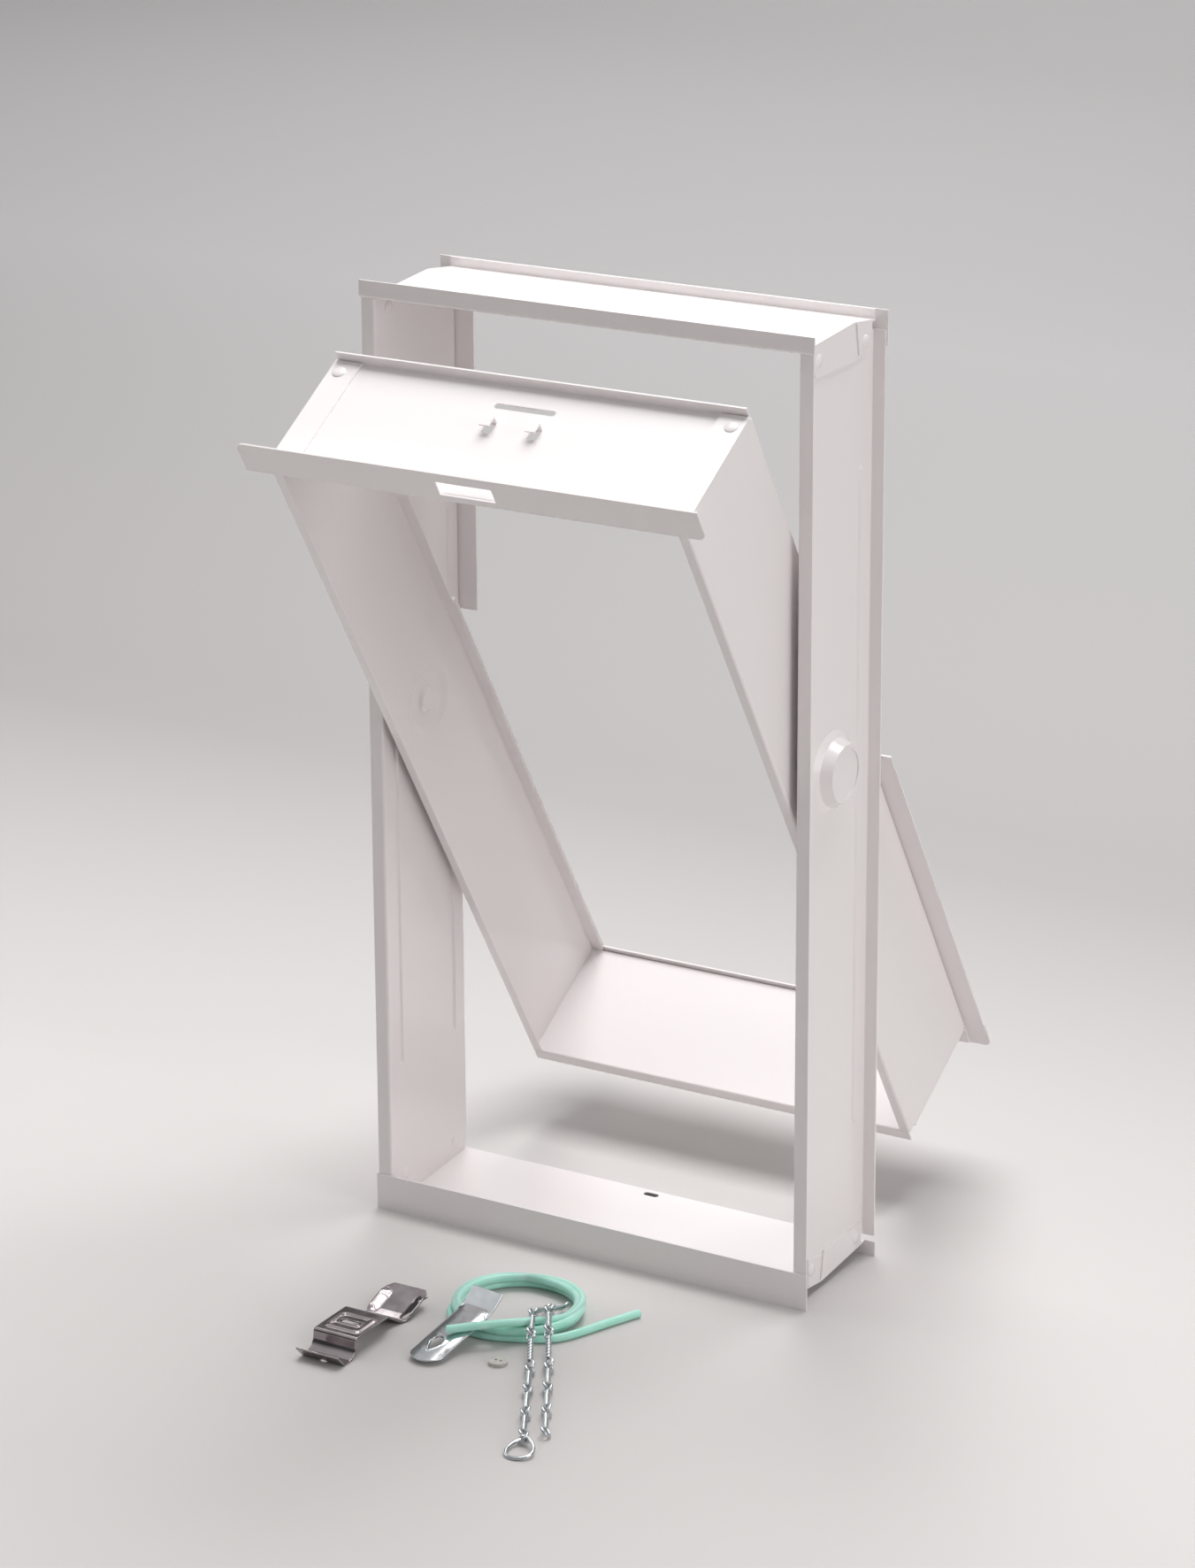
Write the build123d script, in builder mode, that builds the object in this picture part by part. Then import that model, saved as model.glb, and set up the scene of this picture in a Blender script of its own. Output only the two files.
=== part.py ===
"""Glass block vent window: a steel frame, a sash that turns on two side pivots, and its loose fittings.

Millimetres, +Z up. X runs across the window, Y from its front face to its back, and the origin is the
middle of the sill's lower front edge. The sash is drawn about its pivots in its open position.
"""
import os
from math import cos, radians, sin

from build123d import *

os.makedirs("parts", exist_ok=True)

# Sheet metal
SHEET = 1.2
BEND = 1.2
STOP_GAP = 0.3

# Frame, outside sizes and clear opening
WIDTH = 328.8
HEIGHT = 642.0
DEPTH = 98.4
FLANGE_SETBACK = 1.0

# Jambs
JAMB_FLANGE = 8.7
JAMB_FLANGE_END = 6.0
JAMB_REAR_NOTCH = 15.0
BEAD_WIDTH = 7.0
BEAD_RISE = 1.2
BEAD_SETBACK = 16.2
BEAD_FOOT = 100.0
BEAD_TOP = 543.0

# Head and sill: heights of the folded web, counted inward from the outer edge
SILL_NEAR = 9.6
SILL_VALLEY = 5.4
SILL_FAR = 9.8
SILL_VALLEY_PLACE = 36.6
HEAD_NEAR = 10.9
HEAD_RIDGE = 5.9
HEAD_FAR = 9.6
HEAD_RIDGE_PLACE = 68.7
HEAD_REAR_DROP = 2.4
SILL_STOP_HEIGHT = 25.0
HEAD_STOP_HEIGHT = 23.0
TAB_RISE = 15.5
TAB_SLIT = 2.0
TAB_LEAN = 3.5
TAB_REAR_SETBACK = 5.4
TAB_FRONT_END = 18.5
SLOT_LENGTH = 11.0
SLOT_WIDTH = 4.5
SILL_SLOT_PLACE = -3.0
SILL_SLOT_REAR = 7.4

# Strips that close the upper half of the jambs
STRIP_INNER = 13.8
STRIP_OUTER = 9.4
STRIP_FOOT = 400.0

# Pivots
PIVOT_Y = 47.0
PIVOT_Z = 351.0
OPEN_ANGLE = 31.6
PIN_RADIUS = 6.0
PIN_PLAY = 0.05
PIN_HEAD_RADIUS = 8.85
PIN_HEAD = 2.0
COLLAR_RADIUS = 11.0
PIN_END = 2.0
DIMPLE_RADIUS = 24.5
DIMPLE_SLOPE = 75.0
DIMPLE_DEPTH = 1.5
HOUSING_RADIUS = 27.0
HOUSING_RIM_RADIUS = 19.0
HOUSING_HEIGHT = 10.3
HOUSING_FOOT = 4.5
HOUSING_CROWN = 3.0
CAP_RADIUS = 16.6
CAP_RECESS = 0.9

# Sash, measured from the pivots
SIDE_GAP = 5.1
SASH_TOP = 265.5
SASH_BOTTOM = 322.3
FRONT_LIP = 7.3
REAR_LIP = 10.0
FRONT_LIP_SEAT = 2.7
LIP_STEP = 45.0
PLATE_LIP = 6.0
FLANGE_OVER = 17.7
FLANGE_UNDER = 5.6
FLANGE_CORNER = 6.0
FOLD_WIDTH = 19.7
FOLD_FRONT = 36.0
SASH_STRIP_INNER = 10.4
SASH_STRIP_OUTER = 14.2
SASH_STRIP_END = 42.0
WINDOW_LENGTH = 39.7
WINDOW_HEIGHT = 11.0
WINDOW_RISE = 4.7
CATCH_SLOT_LENGTH = 43.7
CATCH_SLOT_WIDTH = 4.5
CATCH_SLOT_PLACE = 29.6
HOOK_SPACING = 32.6
HOOK_PLACE = 11.3
HOOK_WIDTH = 7.0
HOOK_HEIGHT = 6.0
HOOK_REACH = 8.0

# Latch clip: spring sheet, from the scoop at its near end to the curled far end
LATCH_PLACE = (-65.0, -221.0)
LATCH_SHEET = 1.0
LATCH_HALF_WIDTH = 16.0
LATCH_NECK = 11.0
LATCH_LENGTH = 108.0
LATCH_RISE = 12.5
LATCH_PLATE = (20.0, 57.0)
LATCH_SLOT = (13.0, 5.0)
LATCH_RIM = 3.0
LATCH_RIB = (24.0, 3.0)
LATCH_RIB_PLACE = 11.5
LATCH_RIB_RISE = 0.8
LATCH_EYE = 2.6
LATCH_EYE_PLACE = 8.5

# Pull handle: crowned strip with a round tongue, a teardrop hole and a turned-up lip
HANDLE_PLACE = (-11.0, -189.0, 3.1)
HANDLE_TURN = 7.6
HANDLE_SLOPE = 13.5
HANDLE_SHEET = 1.4
HANDLE_WIDTH = 24.0
HANDLE_CROWN = 2.0
HANDLE_BODY = 62.0
HANDLE_LIP = 12.0
HANDLE_LIP_RISE = 6.0
HANDLE_HOLE = 3.6
HANDLE_HOLE_PLACE = 22.0
HANDLE_HOLE_TAIL = 12.0

# Green vinyl tube: a loose coil and its two ends
TUBE_DIAMETER = 5.4
COIL_PLACE = (5.0, -95.0)
COIL_OUTER = 47.0
COIL_INNER = 34.0
COIL_HEIGHT = 11.0
TUBE_END_RIGHT = ((49.0, -119.5, 2.7), (58.0, -100.0, 2.7), (66.0, -80.0, 2.7), (75.0, -60.0, 2.7))
TUBE_END_LEFT = ((28.0, -130.0, 14.0), (12.0, -147.0, 15.5), (-6.0, -162.5, 14.3))

# Button
BUTTON_PLACE = (32.3, -162.6)
BUTTON_RADIUS = 6.2
BUTTON_HEIGHT = 2.4
BUTTON_HOLE = 0.9
BUTTON_HOLE_SPACING = 3.6

# Chain of twisted wire links with a loop at each end, its joining ring and its pull ring
LINK_PITCH = 30.5
LOOP_RADIUS = 3.2
WIRE_RADIUS = 0.8
SHANK_RADIUS = 1.6
SHANK_SIDES = 6
LOOP_PLAY = 1.2
LOOP_LEAN = 45.0
LOOP_SIDES = 10
STRAND_NEAR = (
    (101.5, -245.4, 4.2), (86.7, -218.7, 4.2), (71.9, -192.0, 4.2), (57.1, -165.3, 4.2),
    (42.8, -139.7, 14.2), (28.0, -113.0, 14.2), (21.5, -85.0, 4.2),
)
STRAND_FAR = (
    (111.5, -236.0, 4.2), (96.3, -209.6, 4.2), (81.1, -183.2, 4.2), (65.9, -156.8, 4.2),
    (50.8, -131.6, 14.8), (35.2, -105.4, 14.8), (30.5, -77.4, 4.2),
)
JOINING_RADIUS = 4.0
JOINING_WIRE = 0.9
PULL_RING_LENGTH = 24.5
PULL_RING_WIDTH = 18.0
PULL_RING_WIRE = 1.0
PULL_RING_PLAY = 0.3
PULL_RING_TURN = -68.0

# Sizes worked out from the ones above
half_width = WIDTH / 2
flange_end = half_width - FLANGE_SETBACK
jamb_outer = flange_end - JAMB_FLANGE
jamb_inner = jamb_outer - SHEET
jamb_mid = jamb_inner + SHEET / 2
rail_end = jamb_outer + SHEET
sash_outer = jamb_inner - SIDE_GAP
sash_inner = sash_outer - SHEET
sash_mid = sash_outer - SHEET / 2
dimple_face = sash_outer + DIMPLE_DEPTH
tab_rear_end = DEPTH - TAB_REAR_SETBACK

# Planes of the open sash: across, along its depth and along its height, from the pivot line
tilt = radians(OPEN_ANGLE)
across = Vector(1, 0, 0)
deep = Vector(0, cos(tilt), sin(tilt))
tall = Vector(0, -sin(tilt), cos(tilt))
pivot = Vector(0, PIVOT_Y, PIVOT_Z)
sash_level = Plane(origin=pivot, x_dir=across, z_dir=tall)
sash_side = Plane(origin=pivot, x_dir=deep, z_dir=across)
sash_front = Plane(origin=pivot, x_dir=across, z_dir=-deep)
pivot_plane = Plane(origin=pivot, x_dir=Vector(0, 1, 0), z_dir=across)

front_lip_face = FRONT_LIP_SEAT - PIVOT_Y
rear_lip_face = DEPTH - SHEET - STOP_GAP - PIVOT_Y
lower_lip_face = DEPTH + STOP_GAP - PIVOT_Y
flange_back_face = -STOP_GAP - PIVOT_Y


def keep(part, name):
    """Label a finished piece and write it."""
    part.label = name
    export_step(part, f"parts/{name}.step")


def mirrored(part):
    """Return the left-hand copy of a right-hand piece."""
    with BuildPart() as copy:
        mirror(part, about=Plane.YZ)
    return copy.part


# Sill: folded web with a shallow valley, a wide rear flange and a narrow front one
sill_points = (
    (1.5 * SHEET, 0),
    (1.5 * SHEET, SILL_NEAR),
    (SILL_VALLEY_PLACE, SILL_VALLEY),
    (DEPTH - SHEET / 2, SILL_FAR),
    (DEPTH - SHEET / 2, 0),
)
with BuildPart() as sill:
    with BuildSketch(Plane.YZ):
        with BuildLine():
            FilletPolyline(*sill_points, radius=BEND)
        trace(line_width=SHEET)
    extrude(amount=flange_end, both=True)
    with BuildSketch(Plane.XY):
        with Locations((flange_end, (DEPTH - SHEET) / 2), (-flange_end, (DEPTH - SHEET) / 2)):
            Rectangle(2 * (flange_end - rail_end), DEPTH - SHEET)
    extrude(amount=HEIGHT / 2, mode=Mode.SUBTRACT)
    for plane in (Plane.YZ.offset(jamb_outer), Plane.YZ.offset(-rail_end)):
        with BuildSketch(plane):
            with BuildLine():
                Polyline(
                    (TAB_FRONT_END, SILL_NEAR - SHEET),
                    (TAB_FRONT_END, SILL_NEAR + TAB_RISE + TAB_SLIT),
                    (SILL_VALLEY_PLACE, SILL_NEAR + TAB_RISE - TAB_SLIT),
                    (SILL_VALLEY_PLACE - TAB_LEAN, SILL_VALLEY),
                    close=True,
                )
            make_face()
            with BuildLine():
                Polyline(
                    (SILL_VALLEY_PLACE, SILL_VALLEY),
                    (SILL_VALLEY_PLACE + TAB_LEAN, SILL_NEAR + TAB_RISE),
                    (tab_rear_end - TAB_LEAN / 2, SILL_NEAR + TAB_RISE),
                    (tab_rear_end, SILL_FAR - SHEET / 2),
                    close=True,
                )
            make_face()
        extrude(amount=SHEET)
    with BuildSketch(Plane.XY):
        with Locations((SILL_SLOT_PLACE, DEPTH - SILL_SLOT_REAR)):
            SlotOverall(SLOT_LENGTH, SLOT_WIDTH)
    extrude(amount=HEIGHT / 2, mode=Mode.SUBTRACT)
keep(sill.part, "sill")

with BuildPart() as sill_stop:
    with BuildSketch(Plane.XZ):
        with Locations((0, SILL_STOP_HEIGHT / 2)):
            Rectangle(WIDTH, SILL_STOP_HEIGHT)
    extrude(amount=-SHEET)
keep(sill_stop.part, "sill_stop")

# Head: the same folded web turned over, its wide flange in front
head_points = (
    (SHEET / 2, HEIGHT),
    (SHEET / 2, HEIGHT - HEAD_NEAR),
    (HEAD_RIDGE_PLACE, HEIGHT - HEAD_RIDGE),
    (DEPTH - 1.5 * SHEET, HEIGHT - HEAD_FAR),
    (DEPTH - 1.5 * SHEET, HEIGHT - HEAD_REAR_DROP),
)
tab_foot = HEIGHT - HEAD_NEAR - TAB_RISE - TAB_LEAN
with BuildPart() as head:
    with BuildSketch(Plane.YZ):
        with BuildLine():
            FilletPolyline(*head_points, radius=BEND)
        trace(line_width=SHEET)
    extrude(amount=half_width, both=True)
    with BuildSketch(Plane.XY.offset(HEIGHT)):
        with Locations((half_width, SHEET + DEPTH / 2), (-half_width, SHEET + DEPTH / 2)):
            Rectangle(2 * (half_width - rail_end), DEPTH)
    extrude(amount=-HEIGHT / 2, mode=Mode.SUBTRACT)
    for plane in (Plane.YZ.offset(jamb_outer), Plane.YZ.offset(-rail_end)):
        with BuildSketch(plane):
            with BuildLine():
                Polyline(
                    (TAB_FRONT_END / 2, HEIGHT - HEAD_NEAR),
                    (TAB_FRONT_END, tab_foot),
                    (HEAD_RIDGE_PLACE + TAB_LEAN, tab_foot),
                    (HEAD_RIDGE_PLACE, HEIGHT - HEAD_RIDGE),
                    close=True,
                )
            make_face()
            with BuildLine():
                Polyline(
                    (HEAD_RIDGE_PLACE + TAB_LEAN, HEIGHT - HEAD_RIDGE - SHEET / 2),
                    (HEAD_RIDGE_PLACE + 2 * TAB_LEAN, tab_foot + TAB_SLIT),
                    (tab_rear_end - 2 * TAB_LEAN, tab_foot + TAB_SLIT),
                    (tab_rear_end, HEIGHT - HEAD_FAR),
                    close=True,
                )
            make_face()
        extrude(amount=SHEET)
keep(head.part, "head")

head_stop_top = HEIGHT - HEAD_REAR_DROP
with BuildPart() as head_stop:
    with BuildSketch(Plane.XZ.offset(-DEPTH)):
        with Locations((0, head_stop_top - HEAD_STOP_HEIGHT / 2)):
            Rectangle(WIDTH, HEAD_STOP_HEIGHT)
    extrude(amount=SHEET)
keep(head_stop.part, "head_stop")

# Jambs: channels with their flanges turned outward, two beads and a hole for the pivot
jamb_front = 1.5 * SHEET
jamb_rear = DEPTH - 1.5 * SHEET
with BuildPart() as jamb_right:
    with BuildSketch(Plane.XY.offset(JAMB_FLANGE_END)):
        with BuildLine():
            FilletPolyline(
                (flange_end, jamb_front),
                (jamb_mid, jamb_front),
                (jamb_mid, jamb_rear),
                (flange_end, jamb_rear),
                radius=BEND,
            )
        trace(line_width=SHEET)
    extrude(amount=HEIGHT - 2 * JAMB_FLANGE_END)
    with BuildSketch(Plane.YZ.offset(jamb_outer)):
        for place in (BEAD_SETBACK, DEPTH - BEAD_SETBACK):
            with Locations((place, (BEAD_FOOT + BEAD_TOP) / 2)):
                SlotOverall(BEAD_TOP - BEAD_FOOT, BEAD_WIDTH, rotation=90)
    extrude(amount=BEAD_RISE, taper=45)
    with BuildSketch(Plane.YZ.offset(jamb_inner)):
        for place in (BEAD_SETBACK, DEPTH - BEAD_SETBACK):
            with Locations((place, (BEAD_FOOT + BEAD_TOP) / 2)):
                SlotOverall(BEAD_TOP - BEAD_FOOT - SHEET, BEAD_WIDTH - SHEET, rotation=90)
    extrude(amount=BEAD_RISE, taper=45, mode=Mode.SUBTRACT)
    with BuildSketch(pivot_plane.offset(jamb_inner)):
        Circle(PIN_RADIUS + PIN_PLAY)
    extrude(amount=2 * SHEET, mode=Mode.SUBTRACT)
    # Ends follow the folded webs of the sill and the head
    with BuildSketch(Plane.YZ.offset(jamb_inner)):
        with BuildLine():
            Polyline(*sill_points[1:4], (DEPTH, 0), (0, 0), (0, SILL_NEAR), close=True)
        make_face()
        with BuildLine():
            Polyline(*head_points[1:4], (DEPTH, HEIGHT - HEAD_FAR), (DEPTH, HEIGHT), (0, HEIGHT),
                     (0, HEIGHT - HEAD_NEAR), close=True)
        make_face()
    extrude(amount=rail_end - jamb_inner, mode=Mode.SUBTRACT)
    with BuildSketch(Plane.XZ.offset(-DEPTH)):
        with Locations((flange_end, HEIGHT), (flange_end, 0)):
            Rectangle(2 * (flange_end - jamb_inner), 2 * JAMB_REAR_NOTCH)
    extrude(amount=3 * SHEET, mode=Mode.SUBTRACT)
    add(sill.part, mode=Mode.SUBTRACT)
    add(head.part, mode=Mode.SUBTRACT)
keep(jamb_right.part, "jamb_right")
keep(mirrored(jamb_right.part), "jamb_left")

strip_top = head_stop_top - HEAD_STOP_HEIGHT
with BuildPart() as jamb_stop_right:
    with BuildSketch(Plane.XZ.offset(-DEPTH)):
        with Locations((jamb_inner + (STRIP_OUTER - STRIP_INNER) / 2, (STRIP_FOOT + strip_top) / 2)):
            Rectangle(STRIP_OUTER + STRIP_INNER, strip_top - STRIP_FOOT)
    extrude(amount=SHEET)
keep(jamb_stop_right.part, "jamb_stop_right")
keep(mirrored(jamb_stop_right.part), "jamb_stop_left")

# Pivot housings on the outside of the jambs: flared rings, each closed by an inset cap
housing_section = Plane(origin=pivot + across * jamb_outer, x_dir=Vector(0, 1, 0), z_dir=Vector(0, 0, -1))
with BuildPart() as pivot_housing_right:
    with BuildSketch(housing_section):
        with BuildLine():
            Polyline(
                (HOUSING_RADIUS, 0),
                (HOUSING_RADIUS - HOUSING_FOOT, HOUSING_CROWN),
                (HOUSING_RIM_RADIUS, HOUSING_HEIGHT),
                (CAP_RADIUS, HOUSING_HEIGHT),
                (CAP_RADIUS, 0),
                close=True,
            )
        make_face()
    revolve(axis=Axis(pivot, across))
keep(pivot_housing_right.part, "pivot_housing_right")
keep(mirrored(pivot_housing_right.part), "pivot_housing_left")

cap_top = HOUSING_HEIGHT - CAP_RECESS
with BuildPart() as pivot_cap_right:
    with BuildSketch(pivot_plane.offset(jamb_outer + cap_top - SHEET)):
        Circle(CAP_RADIUS - PIN_PLAY)
    extrude(amount=SHEET)
keep(pivot_cap_right.part, "pivot_cap_right")
keep(mirrored(pivot_cap_right.part), "pivot_cap_left")

# Pivot pins: bevelled head inside the sash, collar in the side gap, end inside the housing
pin_section = Plane(origin=pivot, x_dir=Vector(0, 1, 0), z_dir=Vector(0, 0, -1))
collar_end = jamb_inner - STOP_GAP
with BuildPart() as pivot_pin_right:
    with BuildSketch(pin_section):
        with BuildLine():
            Polyline(
                (0, sash_inner + DIMPLE_DEPTH - PIN_HEAD),
                (PIN_HEAD_RADIUS - PIN_HEAD, sash_inner + DIMPLE_DEPTH - PIN_HEAD),
                (PIN_HEAD_RADIUS, sash_inner + DIMPLE_DEPTH),
                (PIN_RADIUS, sash_inner + DIMPLE_DEPTH),
                (PIN_RADIUS, dimple_face),
                (COLLAR_RADIUS, dimple_face),
                (COLLAR_RADIUS, collar_end),
                (PIN_RADIUS, collar_end),
                (PIN_RADIUS, jamb_outer + PIN_END),
                (0, jamb_outer + PIN_END),
                close=True,
            )
        make_face()
    revolve(axis=Axis(pivot, across))
keep(pivot_pin_right.part, "pivot_pin_right")
keep(mirrored(pivot_pin_right.part), "pivot_pin_left")

# Sash sides: channels with their lips turned inward, deeper below the step, folded over the end plates
side_sections = (
    (SHEET - SASH_BOTTOM, SASH_BOTTOM - SHEET + LIP_STEP, lower_lip_face),
    (LIP_STEP, SASH_TOP - 2 * SHEET - LIP_STEP, rear_lip_face),
)
fold_rear = rear_lip_face - SHEET / 2 - BEND
with BuildPart() as sash_right:
    for foot, length, face in side_sections:
        with BuildSketch(sash_level.offset(max(foot, 2 * SHEET - SASH_BOTTOM))):
            with BuildLine():
                FilletPolyline(
                    (sash_outer - FRONT_LIP, front_lip_face + SHEET / 2),
                    (sash_mid, front_lip_face + SHEET / 2),
                    (sash_mid, face - SHEET / 2),
                    (sash_outer - REAR_LIP, face - SHEET / 2),
                    radius=BEND,
                )
            trace(line_width=SHEET)
        extrude(amount=length if foot > 0 else length - SHEET)
    # Web and folds beyond the lips
    with BuildSketch(sash_side.offset(sash_inner)):
        with Locations(((fold_rear - FOLD_FRONT) / 2, (SASH_TOP - SASH_BOTTOM) / 2)):
            Rectangle(fold_rear + FOLD_FRONT, SASH_TOP + SASH_BOTTOM)
    extrude(amount=SHEET)
    for level in (SASH_TOP - SHEET, -SASH_BOTTOM):
        with BuildSketch(sash_level.offset(level)):
            with Locations((sash_outer - FOLD_WIDTH / 2, (fold_rear - FOLD_FRONT) / 2)):
                Rectangle(FOLD_WIDTH, fold_rear + FOLD_FRONT)
        extrude(amount=SHEET)
    # Shallow round dimple at the pivot, pressed outward, and its hole
    with BuildSketch(pivot_plane.offset(sash_outer)):
        Circle(DIMPLE_RADIUS)
    extrude(amount=DIMPLE_DEPTH, taper=DIMPLE_SLOPE)
    with BuildSketch(pivot_plane.offset(sash_inner)):
        Circle(DIMPLE_RADIUS)
    extrude(amount=DIMPLE_DEPTH, taper=DIMPLE_SLOPE, mode=Mode.SUBTRACT)
    with BuildSketch(pivot_plane.offset(sash_inner)):
        Circle(PIN_RADIUS + PIN_PLAY)
    extrude(amount=DIMPLE_DEPTH + 2 * SHEET, mode=Mode.SUBTRACT)
keep(sash_right.part, "sash_right")
keep(mirrored(sash_right.part), "sash_left")

# Sash top: plate with a turned-down front edge, an upturned rear lip, the catch slot and two hooks
top_mid = SASH_TOP - 1.5 * SHEET
plate_front = flange_back_face + SHEET / 2
with BuildPart() as sash_top:
    with BuildSketch(sash_side):
        with BuildLine():
            FilletPolyline(
                (plate_front, SASH_TOP - FLANGE_UNDER),
                (plate_front, top_mid),
                (rear_lip_face - SHEET / 2, top_mid),
                (rear_lip_face - SHEET / 2, SASH_TOP + PLATE_LIP),
                radius=BEND,
            )
        trace(line_width=SHEET)
    extrude(amount=sash_inner, both=True)
    for side in (-1, 1):
        with BuildSketch(sash_side.offset(side * HOOK_SPACING / 2 - HOOK_WIDTH / 2)):
            with BuildLine():
                FilletPolyline(
                    (HOOK_PLACE + HOOK_REACH / 2, top_mid),
                    (HOOK_PLACE + HOOK_REACH / 2, top_mid + HOOK_HEIGHT),
                    (HOOK_PLACE - HOOK_REACH / 2, top_mid + HOOK_HEIGHT),
                    radius=BEND,
                )
            trace(line_width=SHEET)
        extrude(amount=HOOK_WIDTH)
    with BuildSketch(sash_level.offset(SASH_TOP - 2 * SHEET)):
        with Locations((0, CATCH_SLOT_PLACE)):
            SlotOverall(CATCH_SLOT_LENGTH, CATCH_SLOT_WIDTH)
        with Locations((-HOOK_SPACING / 2, HOOK_PLACE - SHEET), (HOOK_SPACING / 2, HOOK_PLACE - SHEET)):
            Rectangle(HOOK_WIDTH, HOOK_REACH)
    extrude(amount=SHEET, mode=Mode.SUBTRACT)
keep(sash_top.part, "sash_top")

with BuildPart() as sash_top_flange:
    with BuildSketch(sash_front.offset(-flange_back_face)):
        with Locations((0, SASH_TOP + (FLANGE_OVER - FLANGE_UNDER) / 2)):
            Rectangle(2 * flange_end, FLANGE_OVER + FLANGE_UNDER)
            fillet(vertices().sort_by(Axis.Z)[-2:], radius=FLANGE_CORNER)
        with Locations((0, SASH_TOP + WINDOW_RISE)):
            Rectangle(WINDOW_LENGTH, WINDOW_HEIGHT, mode=Mode.SUBTRACT)
    extrude(amount=SHEET)
keep(sash_top_flange.part, "sash_top_flange")

# Sash bottom: plate with a turned-down rear edge and a front lip
bottom_mid = 1.5 * SHEET - SASH_BOTTOM
bottom_rear = lower_lip_face - SHEET / 2
with BuildPart() as sash_bottom:
    with BuildSketch(sash_side):
        with BuildLine():
            FilletPolyline(
                (front_lip_face + SHEET / 2, -SASH_BOTTOM - PLATE_LIP),
                (front_lip_face + SHEET / 2, bottom_mid),
                (bottom_rear, bottom_mid),
                (bottom_rear, -SASH_BOTTOM - FLANGE_OVER),
                radius=BEND,
            )
        trace(line_width=SHEET)
    extrude(amount=sash_inner, both=True)
keep(sash_bottom.part, "sash_bottom")

with BuildPart() as sash_bottom_flange:
    with BuildSketch(sash_front.offset(-lower_lip_face)):
        with Locations((0, -SASH_BOTTOM - (FLANGE_OVER - FLANGE_UNDER) / 2)):
            Rectangle(2 * flange_end, FLANGE_OVER + FLANGE_UNDER)
            fillet(vertices().sort_by(Axis.Z)[:2], radius=FLANGE_CORNER)
    extrude(amount=-SHEET)
keep(sash_bottom_flange.part, "sash_bottom_flange")

strip_end = FLANGE_UNDER - SASH_BOTTOM
with BuildPart() as sash_strip_right:
    with BuildSketch(sash_front.offset(-lower_lip_face)):
        with BuildLine():
            Polyline(
                (sash_outer - SASH_STRIP_INNER, strip_end),
                (sash_outer + SASH_STRIP_OUTER, strip_end),
                (sash_outer + SASH_STRIP_OUTER, -SASH_STRIP_END),
                (sash_outer, -SASH_STRIP_END),
                (sash_outer, LIP_STEP),
                (sash_outer - SASH_STRIP_INNER, LIP_STEP),
                close=True,
            )
        make_face()
    extrude(amount=-SHEET)
keep(sash_strip_right.part, "sash_strip_right")
keep(mirrored(sash_strip_right.part), "sash_strip_left")

# Latch clip: the folded sheet is cut to its plan outline, then slotted and ribbed
latch_side = Plane(origin=(*LATCH_PLACE, 0), x_dir=(0, 1, 0), z_dir=(1, 0, 0))
latch_plan = Plane(origin=(*LATCH_PLACE, 0), x_dir=(1, 0, 0), z_dir=(0, 0, 1))
latch_low = LATCH_SHEET / 2
latch_high = LATCH_RISE + LATCH_SHEET / 2
plate_start, plate_end = LATCH_PLATE
plate_middle = (plate_start + plate_end) / 2
with BuildPart() as latch_clip:
    with BuildSketch(latch_side):
        with BuildLine():
            FilletPolyline(
                (0, 0.7 * LATCH_RISE),
                (0.35 * plate_start, latch_low),
                (0.7 * plate_start, latch_low),
                (plate_start, latch_high),
                (plate_end, latch_high),
                (plate_end + 1.6 * LATCH_RISE, latch_low),
                (plate_end + 2.2 * LATCH_RISE, latch_low + LATCH_SHEET),
                (LATCH_LENGTH - LATCH_RISE, 0.55 * LATCH_RISE),
                (LATCH_LENGTH, 0.8 * LATCH_RISE),
                radius=(3, 3, 1.5, 3, 4, 4, 4),
            )
        trace(line_width=LATCH_SHEET)
    extrude(amount=LATCH_HALF_WIDTH, both=True)
    with BuildSketch(latch_plan):
        with BuildLine():
            Polyline(
                (LATCH_HALF_WIDTH, -LATCH_SHEET),
                (LATCH_HALF_WIDTH, plate_end),
                (LATCH_NECK, plate_end + LATCH_RISE),
                (LATCH_HALF_WIDTH, plate_end + 2 * LATCH_RISE),
                (LATCH_HALF_WIDTH, LATCH_LENGTH - 4 * LATCH_SHEET),
                (LATCH_HALF_WIDTH - 4 * LATCH_SHEET, LATCH_LENGTH + LATCH_SHEET),
                (0, LATCH_LENGTH + LATCH_SHEET),
                (0, -LATCH_SHEET),
                close=True,
            )
        make_face()
        mirror(about=Plane.YZ)
    extrude(amount=2 * LATCH_RISE, mode=Mode.INTERSECT)
    with BuildSketch(latch_plan.offset(LATCH_RISE + LATCH_SHEET / 2)):
        with Locations((-LATCH_RIB_PLACE, plate_middle), (LATCH_RIB_PLACE, plate_middle)):
            SlotOverall(*LATCH_RIB, rotation=90)
        with Locations((0, plate_middle)):
            Rectangle(LATCH_SLOT[0] + LATCH_RIM, LATCH_SLOT[1] + LATCH_RIM)
    extrude(amount=LATCH_SHEET / 2 + LATCH_RIB_RISE)
    with BuildSketch(latch_plan):
        with Locations((0, plate_middle)):
            Rectangle(*LATCH_SLOT)
        with Locations((0, LATCH_EYE_PLACE)):
            Circle(LATCH_EYE)
    extrude(amount=2 * LATCH_RISE, mode=Mode.SUBTRACT)
keep(latch_clip.part, "latch_clip")

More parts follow.
